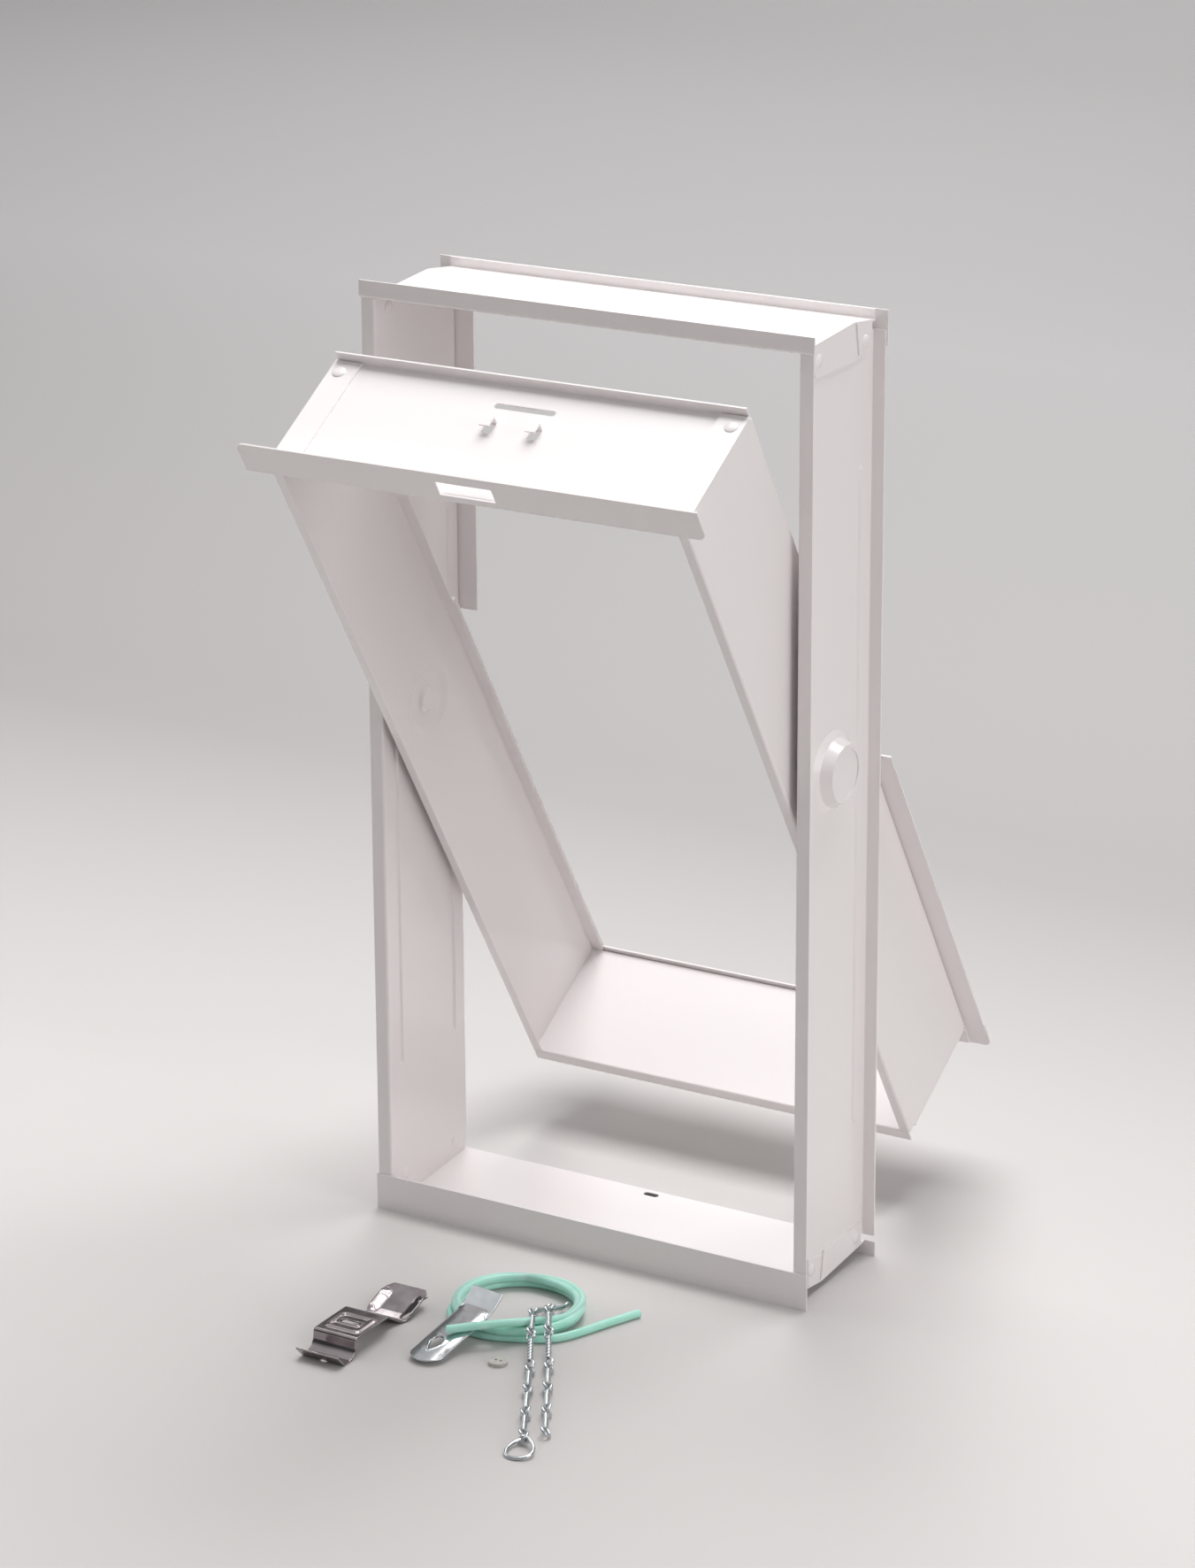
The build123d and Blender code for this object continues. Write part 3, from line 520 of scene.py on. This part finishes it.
@dataclass
class VinylTube:
    """The free tube: a straight end, a loose coil of uneven turns, and an end that lies on the handle."""

    diameter: float = 5.4 * MM
    coil_centre: tuple[float, float] = (5 * MM, -95 * MM)
    turns: int = 4
    points_a_turn: int = 14
    turn_radii: tuple[float, ...] = (44.2 * MM, 40.0 * MM, 43.6 * MM, 37.6 * MM, 42.2 * MM)
    turn_heights: tuple[float, ...] = (2.8 * MM, 2.9 * MM, 7.9 * MM, 8.2 * MM, 8.3 * MM)
    start_angle: float = -35.0
    long_wave: tuple[float, float, float] = (1.2 * MM, 2.3, 0.7)
    short_wave: tuple[float, float] = (0.8 * MM, 3.1)
    curve_share: float = 0.985
    right_end: tuple[tuple[float, float, float], ...] = (
        (75.0, -60.0, 2.7), (66.0, -80.0, 2.7), (58.0, -100.0, 2.7), (49.0, -119.5, 2.7),
    )
    left_end: tuple[tuple[float, float, float], ...] = (
        (28.0, -130.0, 14.0), (12.0, -147.0, 15.5), (-6.0, -162.5, 14.3),
    )

    def route(self) -> np.ndarray:
        """Work out the control points: the right end, the coil's turns and the left end.

        A turn's point is centre + r(a) * (cos(a), sin(a)), where r and the height go from one turn's
        value to the next, and w * sin(f * a + p) and v * cos(g * a) are added to r to set the turns apart.

        Returns:
            The points in metres.
        """
        count = self.turns * self.points_a_turn
        share = np.arange(1, count) / self.points_a_turn
        angle = radians(self.start_angle) - share * 2 * pi
        (long_height, long_rate, long_start), (short_height, short_rate) = self.long_wave, self.short_wave
        radius = np.interp(share, np.arange(len(self.turn_radii)), self.turn_radii)
        radius = radius + long_height * np.sin(long_rate * angle + long_start)
        radius = radius + short_height * np.cos(short_rate * angle)
        height = np.interp(share, np.arange(len(self.turn_heights)), self.turn_heights)
        coil = np.stack((
            self.coil_centre[0] + radius * np.cos(angle),
            self.coil_centre[1] + radius * np.sin(angle),
            height,
        ), axis=-1)
        return np.concatenate((np.array(self.right_end) * MM, coil, np.array(self.left_end) * MM))

    def build(self, finishes: Finishes) -> bpy.types.Object:
        """The curve cuts its control points' corners, so it is a little shorter than the run of the points.

        Args:
            finishes: The window's finishes.

        Returns:
            The curve's object.
        """
        points = self.route()
        curve = bpy.data.curves.new("vinyl_tube", "CURVE")
        curve.dimensions = "3D"
        curve.bevel_depth = self.diameter / 2
        curve.bevel_resolution = 5
        curve.resolution_u = 6
        curve.use_fill_caps = True
        spline = curve.splines.new("NURBS")
        spline.points.add(len(points) - 1)
        spline.points.foreach_set("co", np.column_stack((points, np.ones(len(points)))).ravel())
        spline.order_u = 3
        spline.use_endpoint_u = True
        curve.materials.append(finishes.vinyl)
        tube = bpy.data.objects.new("vinyl_tube", curve)
        bpy.context.scene.collection.objects.link(tube)
        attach(tube, Body.FRAME.value)
        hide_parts("tube_coil", "tube_end_right", "tube_end_left")
        return tube


# The chain and its rings

@dataclass
class WireChain:
    """A strand of the chain: links of one wire, looped at both ends and wound round itself between them.

    The joints are in millimetres, and loop and wire are radii. The twist starts shank_start loop radii
    from a loop's centre.
    """

    name: str
    node: str
    joints: tuple[tuple[float, float, float], ...]
    pitch: float = 30.5 * MM
    loop: float = 3.5 * MM
    wire: float = 0.95 * MM
    play: float = 1.2 * MM
    lean: float = 45.0
    wraps: float = 7.0
    loop_half_turn: float = 0.80 * pi
    loop_points: int = 17
    shank_start: float = 1.15
    shank_points: int = 57
    sides: int = 8

    def link_path(self) -> np.ndarray:
        """Work out one link along X, flat through its loops in the XY plane.

        Each loop is an arc about its centre. Between the loops two wires wind round each other:
        (x, w * cos(t), w * sin(t)), half a turn apart, which closes the link as one loop of wire.

        Returns:
            A closed path of points.
        """
        reach = self.loop - self.wire - self.play / 2
        centre = self.pitch / 2 - reach
        bend = np.linspace(-self.loop_half_turn, self.loop_half_turn, self.loop_points)
        right = np.stack((centre + self.loop * np.cos(bend), self.loop * np.sin(bend), 0 * bend), axis=-1)
        span = np.linspace(1, -1, self.shank_points)
        wind = pi * self.wraps * (span + 1) / 2
        along = (centre - self.loop * self.shank_start) * span
        over = np.stack((along, self.wire * np.cos(wind), self.wire * np.sin(wind)), axis=-1)
        left = np.stack((-right[:, 0], -right[:, 1], right[:, 2]), axis=-1)
        wind = wind[::-1]
        back = np.stack((-along, -self.wire * np.cos(wind), -self.wire * np.sin(wind)), axis=-1)
        return np.concatenate((right, over, left, back))

    def build(self, finishes: Finishes) -> bpy.types.Object:
        """Make all the links of the strand as one mesh.

        Args:
            finishes: The window's finishes.

        Returns:
            The strand's object.
        """
        draft = MeshDraft(self.name)
        spot = Vector(self.joints[0]) * MM
        link = self.link_path()
        for count, joint in enumerate(self.joints[1:]):
            along = (Vector(joint) * MM - spot).normalized()
            level = Vector((0, 0, 1)).cross(along).normalized()
            lean = radians(self.lean if count % 2 else -self.lean)
            normal = Matrix.Rotation(lean, 3, along) @ level
            axes = np.array((along, normal.cross(along), normal))
            middle = np.array(spot + along * (self.pitch / 2))
            path = middle + link @ axes
            draft.add_tube(tube_grid(path, self.wire, self.sides, normal, closed=True), close_rows=True)
            spot = spot + along * self.pitch
        piece = draft.finish(Body.FRAME, finishes.zinc)
        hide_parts(self.node)
        return piece


@dataclass
class WireRing:
    """A ring bent from one wire, whose ends lie side by side where they overlap.

    The centre is in millimetres, the overlap in radians, and wire is a radius. Without an overlap the ring
    is closed and flat.
    """

    name: str
    node: str
    centre: tuple[float, float, float]
    along: tuple[float, float, float]
    across: tuple[float, float, float]
    half_length: float
    half_width: float
    wire: float
    overlap: float = 0.0
    last_overlap: float = 0.3
    taper: float = 0.0
    shift: float = 1.05
    shift_rate: float = 2.5
    points: int = 57
    sides: int = 12

    def path(self) -> np.ndarray:
        """Work out the wire's centre line.

        A point is centre + l * cos(t) * along + w * (1 + q * cos(t)) * sin(t) * across, with q for how much
        the ring widens along its length, plus s * tanh(k * t) along its axis, which sets its ends apart.

        Returns:
            The points in metres, from one end of the wire to the other.
        """
        last = pi + self.overlap * self.last_overlap
        turn = np.linspace(-pi - self.overlap, last, self.points)[:, None]
        along = unit(np.array(self.along, float))
        across = np.array(self.across, float)
        across = unit(across - along * across.dot(along))
        normal = np.cross(along, across)
        wide = self.half_width * (1 + self.taper * np.cos(turn)) * np.sin(turn)
        shift = self.wire * (self.shift if self.overlap else 0.0) * np.tanh(self.shift_rate * turn / pi)
        line = np.array(self.centre) * MM + self.half_length * np.cos(turn) * along
        return line + wide * across + shift * normal

    def build(self, finishes: Finishes) -> bpy.types.Object:
        """Make the ring as one mesh.

        Args:
            finishes: The window's finishes.

        Returns:
            The ring's object.
        """
        line = self.path()
        normal = np.cross(self.along, self.across)
        draft = MeshDraft(self.name)
        if self.overlap:
            draft.add_tube(tube_grid(line, self.wire, self.sides, normal), cap_ends=True)
        else:
            grid = tube_grid(line[:-1], self.wire, self.sides, normal, closed=True)
            draft.add_tube(grid, close_rows=True)
        piece = draft.finish(Body.FRAME, finishes.zinc)
        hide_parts(self.node)
        return piece


# The frame, the sash and their rivets

@dataclass
class SashFrame:
    """The axes of the open sash, from its pivot line."""

    pivot: tuple[float, float, float] = (0.0, 47 * MM, 351 * MM)
    open_angle: float = 31.6

    def axes(self) -> np.ndarray:
        """Return the directions across, along the depth and along the height, as rows."""
        t = radians(self.open_angle)
        return np.array(((1, 0, 0), (0, cos(t), sin(t)), (0, -sin(t), cos(t))))

    def point(self, across: float, depth: float, height: float) -> np.ndarray:
        """Return the place of a point given in millimetres across, deep and high from the pivots."""
        return np.array(self.pivot) + np.array((across, depth, height)) * MM @ self.axes()


@dataclass
class Rivets:
    """The domed rivet heads of one body, sunk a little into the sheet and with a short wall below."""

    name: str
    body: Body
    radius: float = 4.9 * MM
    height: float = 1.5 * MM
    sunk: float = 0.2 * MM
    wall: float = 0.3 * MM
    places: list[tuple[np.ndarray, np.ndarray]] = field(default_factory=list)

    def add(self, place: Sequence[float], outward: Sequence[float]) -> None:
        """Add a head at a place in metres, standing out in a direction."""
        self.places.append((np.asarray(place, float), np.asarray(outward, float)))

    def build(self, finishes: Finishes) -> bpy.types.Object:
        """Make all heads as one mesh, each a dome closed at its foot and its crown.

        Args:
            finishes: The window's finishes.

        Returns:
            The rivets' object.
        """
        draft = MeshDraft(self.name)
        for place, outward in self.places:
            way = unit(outward)
            dome = dome_grid(place - way * self.sunk, way, self.radius, self.height)
            draft.add_tube(np.concatenate((dome[:1] - way * self.wall, dome)), cap_ends=True)
        return draft.finish(self.body, finishes.enamel)


@dataclass
class FrameDress:
    """The fixed frame: its finish and its rivets, placed by depth and height in millimetres."""

    nodes: tuple[str, ...] = (
        "head", "head_stop", "sill", "sill_stop", "jamb_left", "jamb_right", "jamb_stop_left",
        "jamb_stop_right", "pivot_housing_left", "pivot_housing_right", "pivot_cap_left", "pivot_cap_right",
    )
    outside_rivets: tuple[tuple[float, float], ...] = (
        (22.5, 622.1), (83.7, 621.7), (84.6, 17.0), (23.0, 18.0),
    )
    inside_rivets: tuple[tuple[float, float], ...] = ((17.6, 622.0), (82.1, 20.6), (18.7, 20.2))
    rivet_radius: float = 4.4 * MM
    rivet_height: float = 1.3 * MM
    tab_face: float = 2.4 * MM

    def build(self, finishes: Finishes) -> None:
        """Dress the frame's pieces and add the rivets on both faces of both jambs.

        Args:
            finishes: The window's finishes.
        """
        for node in self.nodes:
            dress(node, finishes.enamel)
        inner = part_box("jamb_right")[0].x
        outer = inner + self.tab_face
        rivets = Rivets("frame_rivets", Body.FRAME, self.rivet_radius, self.rivet_height)
        for side in (-1, 1):
            for y, z in self.outside_rivets:
                rivets.add((side * outer, y * MM, z * MM), (side, 0, 0))
            for y, z in self.inside_rivets:
                rivets.add((side * inner, y * MM, z * MM), (-side, 0, 0))
        rivets.build(finishes)


@dataclass
class SashDress:
    """The sash: its finish and its rivets, placed in millimetres from the pivots."""

    nodes: tuple[str, ...] = (
        "sash_left", "sash_right", "sash_top", "sash_top_flange", "sash_bottom", "sash_bottom_flange",
        "sash_strip_left", "sash_strip_right", "pivot_pin_left", "pivot_pin_right",
    )
    rivet_across: float = 140.5
    rivet_depth: float = 38.2
    top_face: float = 265.5
    bottom_face: float = -322.3

    def build(self, finishes: Finishes) -> None:
        """Dress the sash's pieces and add the rivets at its four corners.

        Args:
            finishes: The window's finishes.
        """
        for node in self.nodes:
            dress(node, finishes.enamel)
        sash = SashFrame()
        tall = sash.axes()[2]
        rivets = Rivets("sash_rivets", Body.SASH)
        for side in (-1, 1):
            across = side * self.rivet_across
            rivets.add(sash.point(across, self.rivet_depth, self.top_face), tall)
            rivets.add(sash.point(across, self.rivet_depth, self.bottom_face), -tall)
        rivets.build(finishes)


# The pressed clip and handle

@dataclass(frozen=True)
class Hole:
    """A hole through a sheet, or the outline of a pressed square. Lengths in millimetres.

    Inside it (|a| / half_run)^p + (|x| / half_across)^p is under 1, with a the run from its middle, x the
    place across and p its power. Widening makes one end wider than the other.
    """

    run: float
    half_run: float
    half_across: float
    power: float = 2.0
    widening: float = 0.0

    def size(self) -> float:
        """Return half the hole's length or its width, whichever is less."""
        return min(self.half_run, self.half_across)

    def level(self, run: np.ndarray, across: np.ndarray) -> np.ndarray:
        """Work out how far out places lie.

        Args:
            run: Runs along the strip.
            across: Places across it.

        Returns:
            A number each, 0 at the middle of the hole and 1 on its edge.
        """
        along = (run - self.run) / self.half_run
        width = self.half_across * (1 + self.widening * np.clip(along, -1, 1))
        return (np.abs(along) ** self.power + np.abs(across / width) ** self.power) ** (1 / self.power)

    def ridge(self, run: np.ndarray, across: np.ndarray, spread: float) -> np.ndarray:
        """Return a ridge of height 1 round the hole: exp(-((level - 1) * size / spread)^2)."""
        return np.exp(-((self.level(run, across) - 1) * self.size() / spread) ** 2)


@dataclass
class PressedSheet:
    """A strip of sheet metal, bent along its length, pressed and pierced. In millimetres and degrees."""

    name: str
    node: str
    place: tuple[float, float, float]
    thickness: float
    corners: tuple[tuple[float, float], ...]
    radii: tuple[float, ...]
    holes: tuple[Hole, ...]
    turn: float = 0.0
    slope: float = 0.0
    cell: float = 0.6
    columns: int = 53
    snap: float = 0.7

    def half_width(self, along: np.ndarray) -> np.ndarray:
        """Return half the width at places along the strip."""
        raise NotImplementedError

    def relief(self, run: np.ndarray, along: np.ndarray, across: np.ndarray) -> np.ndarray:
        """Return how far the metal is pressed up."""
        raise NotImplementedError

    def pierce(self, hole: Hole, run: np.ndarray, across: np.ndarray,
               cells: np.ndarray) -> tuple[np.ndarray, np.ndarray, np.ndarray]:
        """Cut a hole: points close to its edge are moved onto it, and the cells inside it are left out.

        A point within snap cells of the edge moves to middle + (point - middle) / level.

        Args:
            hole: The hole.
            run: The points' runs along the strip.
            across: Their places across it.
            cells: The numbers of each cell's corners.

        Returns:
            The new runs, the new places across and the cells that are left.
        """
        level = hole.level(run, across)
        near = np.abs(level - 1) * hole.size() < self.snap * self.cell
        level = np.maximum(level, HOLE_MIDDLE)
        run = np.where(near, hole.run + (run - hole.run) / level, run)
        across = np.where(near, across / level, across)
        inside = hole.level(run, across).ravel()[cells].mean(axis=1) < HOLE_EDGE
        return run, across, cells[~inside]

    def surface(self) -> tuple[np.ndarray, np.ndarray]:
        """Work out the middle of the sheet from a grid of its run and its width.

        A point is place + x * across + (y(s) - h * z'(s)) * along + (z(s) + h * y'(s)) * up, where (y, z)
        is the line seen from the side, s the run along it, x the place across and h the relief.

        Returns:
            The points, and the numbers of each cell's corners.
        """
        line = rounded_line(self.corners, self.radii)
        lengths = np.concatenate(([0], np.cumsum(np.linalg.norm(np.diff(line, axis=0), axis=1))))
        rows = int(lengths[-1] / self.cell)
        run = np.broadcast_to(np.linspace(0, lengths[-1], rows)[:, None], (rows, self.columns))
        half_width = self.half_width(np.interp(run, lengths, line[:, 0]))
        across = np.linspace(-1, 1, self.columns)[None, :] * half_width
        cells = grid_faces(rows, self.columns, False, False)
        for hole in self.holes:
            run, across, cells = self.pierce(hole, run, across, cells)
        here, before, after = (
            [np.interp(run + step, lengths, line[:, axis]) for axis in (0, 1)]
            for step in (0, -self.cell / 2, self.cell / 2)
        )
        along, up = here
        ahead, climb = after[0] - before[0], after[1] - before[1]
        slant = np.hypot(ahead, climb)
        lift = self.relief(run, along, across)
        turn, slope = radians(self.turn), radians(self.slope)
        side = np.array((cos(turn), -sin(turn), 0))
        onward = np.array((sin(turn) * cos(slope), cos(turn) * cos(slope), sin(slope)))
        points = (np.array(self.place) + across[..., None] * side
                  + (along - lift * climb / slant)[..., None] * onward
                  + (up + lift * ahead / slant)[..., None] * np.cross(side, onward))
        return points, cells

    def build(self, material: bpy.types.Material, slot: Slot) -> bpy.types.Object:
        """Make the sheet with its thickness, in place of the plain one.

        Args:
            material: The finish.
            slot: Not used.

        Returns:
            The sheet's object.
        """
        points, cells = self.surface()
        draft = MeshDraft(self.name)
        draft.add_cells(points * MM, cells[:, ::-1])
        piece = draft.finish(Body.FRAME, material)
        shell = piece.modifiers.new("thickness", "SOLIDIFY")
        shell.thickness = self.thickness * MM
        shell.offset = 0
        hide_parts(self.node)
        return piece


@dataclass
class LatchClip(PressedSheet):
    """The spring clip: a rolled front, a pressed plate with a slot, a neck and a dished rear plate."""

    name: str = "spring_latch_clip"
    node: str = "latch_clip"
    place: tuple[float, float, float] = (-65.0, -221.0, 0.0)
    thickness: float = 1.0
    corners: tuple[tuple[float, float], ...] = (
        (0.0, 8.0), (7.0, 0.5), (19.0, 0.5), (20.5, 13.0), (57.0, 13.0), (77.0, 0.5), (86.0, 2.0),
        (96.0, 5.0), (108.0, 10.0),
    )
    radii: tuple[float, ...] = (4.0, 8.5, 1.5, 4.0, 8.0, 14.0, 14.0)
    holes: tuple[Hole, ...] = (Hole(11.5, 2.6, 2.6), Hole(49.0, 2.5, 6.5, 8.0))
    stations: tuple[float, ...] = (0.0, 57.0, 68.0, 82.0, 104.0, 108.0)
    half_widths: tuple[float, ...] = (16.0, 16.0, 11.0, 16.0, 16.0, 12.0)
    square: Hole = Hole(49.0, 10.0, 11.5, 8.0)
    square_height: float = 0.8
    square_spread: float = 1.2
    rim_height: float = 0.5
    rim_spread: float = 1.0
    dish_height: float = 2.6
    dish_across: tuple[float, float] = (8.0, 16.0)
    dish_start: tuple[float, float] = (78.0, 86.0)
    dish_end: tuple[float, float] = (98.0, 104.0)

    def half_width(self, along: np.ndarray) -> np.ndarray:
        """Return half the width: full, drawn in at the neck, and with cut rear corners."""
        return np.interp(along, self.stations, self.half_widths)

    def relief(self, run: np.ndarray, along: np.ndarray, across: np.ndarray) -> np.ndarray:
        """Work out the pressed square, the slot's rim, and the rear plate's turned-up sides.

        Args:
            run: Runs along the strip.
            along: Places along it as seen from above.
            across: Places across it.

        Returns:
            How far the metal is pressed up at each place.
        """
        square = self.square_height * self.square.ridge(run, across, self.square_spread)
        rim = self.rim_height * self.holes[1].ridge(run, across, self.rim_spread)
        sides = self.dish_height * smooth_step(np.abs(across), *self.dish_across)
        dish = sides * smooth_step(along, *self.dish_start)
        return square + rim + dish * (1 - smooth_step(along, *self.dish_end))


@dataclass
class PullHandle(PressedSheet):
    """The pull handle: a crowned strip with a round front, a drop-shaped eye and a flat upturned lip."""

    name: str = "pressed_pull_handle"
    node: str = "pull_handle"
    place: tuple[float, float, float] = (-11.0, -189.0, 3.1)
    thickness: float = 1.4
    corners: tuple[tuple[float, float], ...] = ((0.0, -0.6), (63.0, -0.6), (74.0, 4.6))
    radii: tuple[float, ...] = (16.0,)
    holes: tuple[Hole, ...] = (Hole(18.5, 7.0, 4.0, 2.0, 0.45),)
    turn: float = 7.6
    slope: float = 13.5
    wide: float = 12.0
    least: float = 0.3
    crown_height: float = 0.6
    crown_drop: float = 2.4
    crown_end: tuple[float, float] = (54.0, 62.0)
    rim_height: float = 0.5
    rim_spread: float = 0.9

    def half_width(self, along: np.ndarray) -> np.ndarray:
        """Return half the width: a half round front, sqrt(w^2 - (w - y)^2), and straight sides."""
        front = np.clip(self.wide - along, 0, self.wide)
        return np.maximum(np.sqrt(np.maximum(self.wide ** 2 - front ** 2, 0)), self.least)

    def relief(self, run: np.ndarray, along: np.ndarray, across: np.ndarray) -> np.ndarray:
        """Work out the crown, c - d * (x / w)^4, which ends before the lip, and the eye's raised rim.

        Args:
            run: Runs along the strip.
            along: Places along it as seen from above.
            across: Places across it.

        Returns:
            How far the metal is pressed up at each place.
        """
        crown = self.crown_height - self.crown_drop * (np.abs(across) / self.wide) ** 4
        rim = self.rim_height * self.holes[0].ridge(run, across, self.rim_spread)
        return crown * (1 - smooth_step(along, *self.crown_end)) + rim


# The loose fittings

@dataclass
class Fittings:
    """The loose fittings on the floor."""

    chains: tuple[WireChain, ...] = (
        WireChain("wire_chain_near", "chain_near", (
            (101.5, -245.4, 4.2), (86.7, -218.7, 4.2), (71.9, -192.0, 4.2), (57.1, -165.3, 4.2),
            (42.8, -139.7, 14.2), (28.0, -113.0, 14.2), (21.5, -85.0, 4.2),
        )),
        WireChain("wire_chain_far", "chain_far", (
            (111.5, -236.0, 4.2), (96.3, -209.6, 4.2), (81.1, -183.2, 4.2), (65.9, -156.8, 4.2),
            (50.8, -131.6, 14.8), (35.2, -105.4, 14.8), (30.5, -77.4, 4.2),
        )),
    )
    rings: tuple[WireRing, ...] = (
        WireRing(
            "wire_joining_ring", "joining_ring", centre=(102.7, -247.6, 4.2),
            along=(0.485, -0.875, 0.0), across=(0.618, 0.343, 0.707),
            half_length=4.0 * MM, half_width=4.0 * MM, wire=0.9 * MM,
        ),
        WireRing(
            "wire_pull_ring", "pull_ring", centre=(107.4, -258.8, 2.8),
            along=(0.371, -0.918, -0.142), across=(0.927, 0.375, 0.0),
            half_length=10.6 * MM, half_width=8.2 * MM, wire=1.2 * MM, overlap=0.6, taper=0.28,
        ),
    )

    def build(self, finishes: Finishes) -> None:
        """Make the clip, the handle, the chain and its rings in place of the plain ones.

        Args:
            finishes: The window's finishes.
        """
        LatchClip().build(finishes.dark_steel, Slot.DARK_STEEL)
        PullHandle().build(finishes.zinc, Slot.ZINC)
        dress("button", finishes.button)
        for wirework in (*self.chains, *self.rings):
            wirework.build(finishes)


# The studio

@dataclass(frozen=True)
class Lamp:
    """A soft square lamp. Lengths in metres, power in watts."""

    name: str
    spot: tuple[float, float, float]
    size: float
    power: float
    target: tuple[float, float, float] = (0.0, 0.0, 0.3)

    def place(self) -> bpy.types.Object:
        """Hang the lamp and turn it to its target.

        Returns:
            The lamp's object.
        """
        data = bpy.data.lights.new(self.name, "AREA")
        data.size = self.size
        data.energy = self.power
        lamp = bpy.data.objects.new(self.name, data)
        lamp.location = self.spot
        way = Vector(self.target) - Vector(self.spot)
        lamp.rotation_euler = way.to_track_quat("-Z", "Y").to_euler()
        bpy.context.scene.collection.objects.link(lamp)
        return lamp


@dataclass(frozen=True)
class Studio:
    """A pale floor that runs up into a grey backdrop, soft lamps and an even world. Lengths in metres.

    The paper darkens to painted shade behind the window between the first pair of depths, and turns to the
    wall's colour between wall_between.
    """

    floor_colour: tuple[float, float, float] = (0.63, 0.605, 0.595)
    # Painted shade: the darker paper behind the window stands in for the light falling off there.
    painted_shade_colour: tuple[float, float, float] = (0.41, 0.395, 0.39)
    wall_colour: tuple[float, float, float] = (0.62, 0.605, 0.605)
    painted_shade_between: tuple[float, float] = (0.1, 0.8)
    wall_between: tuple[float, float] = (0.9, 2.4)
    paper_roughness: float = 0.75
    front: float = -7.0
    back: float = 4.2
    rise: float = 1.8
    wall_top: float = 8.0
    half_width: float = 8.0
    bend_points: int = 25
    fill: float = 0.28
    seen: float = 0.25
    mirrored: tuple[float, float] = (0.10, 0.75)
    mirrored_between: tuple[float, float] = (0.45, 0.8)
    lamps: tuple[Lamp, ...] = (
        Lamp("overhead", (0.0, 0.55, 2.2), 1.4, 47.0),
        Lamp("left_soft", (-2.2, 0.1, 1.2), 1.8, 11.0),
        Lamp("right_soft", (2.4, -0.3, 1.0), 1.6, 20.0),
        Lamp("far_wash", (-1.6, 3.4, 3.0), 2.4, 56.0, (-1.8, 3.5, 0.0)),
    )

    def backdrop(self) -> bpy.types.Object:
        """Make the sweep: flat to its back line, then a quarter round and a wall.

        Returns:
            The backdrop's object, which is not part of the window.
        """
        turn = np.linspace(0, pi / 2, self.bend_points)
        run = np.concatenate((
            [[self.front, 0.0], [self.back, 0.0]],
            np.column_stack((self.back + self.rise * np.sin(turn), self.rise * (1 - np.cos(turn)))),
            [[self.back + self.rise, self.wall_top]],
        ))
        columns = (-self.half_width, 0.0, self.half_width)
        points = [(x, y, z) for y, z in run.tolist() for x in columns]
        cells = grid_faces(len(run), len(columns), False, False)
        mesh = bpy.data.meshes.new("backdrop")
        mesh.from_pydata(points, [], cells[:, ::-1].tolist())
        mesh.polygons.foreach_set("use_smooth", np.full(len(mesh.polygons), True))
        mesh.materials.append(self.material())
        sweep = bpy.data.objects.new("backdrop", mesh)
        bpy.context.scene.collection.objects.link(sweep)
        return sweep

    def material(self) -> bpy.types.Material:
        """Build the backdrop's paper: pale in front, darker behind the window as painted shade, and paler up
        the wall.

        Returns:
            The material.
        """
        nodes = Nodes("backdrop_paper", {"Roughness": self.paper_roughness})
        split = nodes.add("ShaderNodeSeparateXYZ")
        nodes.link(nodes.add("ShaderNodeNewGeometry"), "Position", split, 0)
        # Painted shade: the paper darkens behind the window between these depths.
        into_painted_shade = nodes.ramp(split, "Y", self.painted_shade_between, FULL_RANGE)
        floor = nodes.mix(into_painted_shade, self.floor_colour, self.painted_shade_colour)
        climb = nodes.ramp(split, "Y", self.wall_between, FULL_RANGE)
        tint = nodes.mix(climb, self.painted_shade_colour, self.wall_colour)
        nodes.link(floor, MIX_COLOUR, tint, MIX_FIRST)
        nodes.link(tint, MIX_COLOUR, nodes.shader, "Base Color")
        return nodes.material

    def world(self) -> None:
        """Light the world in white.

        Its strength is the fill for plain light. For mirrored light it goes from the first mirrored value
        to the second as the direction rises, and what the camera sees is brighter by a fixed amount.
        """
        world = bpy.data.worlds.new("studio")
        world.use_nodes = True
        nodes = NodeTree(world.node_tree)
        background = world.node_tree.nodes["Background"]
        background.inputs["Color"].default_value = (1, 1, 1, 1)
        split = nodes.add("ShaderNodeSeparateXYZ")
        nodes.link(nodes.add("ShaderNodeTexCoord"), "Generated", split, 0)
        mirrored = nodes.ramp(split, "Z", self.mirrored_between, self.mirrored)
        ray = nodes.add("ShaderNodeLightPath")
        level = nodes.ramp(ray, "Is Glossy Ray", FULL_RANGE, (self.fill, 1.0))
        nodes.link(mirrored, "Result", level, "To Max")
        seen = nodes.add("ShaderNodeMath", operation="MULTIPLY_ADD")
        seen.inputs[1].default_value = self.seen
        nodes.link(ray, "Is Camera Ray", seen, 0)
        nodes.link(level, "Result", seen, 2)
        nodes.link(seen, "Value", background, "Strength")
        bpy.context.scene.world = world

    def build(self) -> None:
        """Make the sweep, the lamps, the world and the colour handling."""
        self.backdrop()
        for lamp in self.lamps:
            lamp.place()
        self.world()
        bpy.context.scene.view_settings.view_transform = "Standard"


def main() -> None:
    """Build the scene: camera and cord first, then the window, its fittings and the studio."""
    PhotoCamera().place()
    finishes = Finishes()
    VinylTube().build(finishes)
    FrameDress().build(finishes)
    SashDress().build(finishes)
    Fittings().build(finishes)
    Studio().build()


if __name__ == "__main__":
    main()
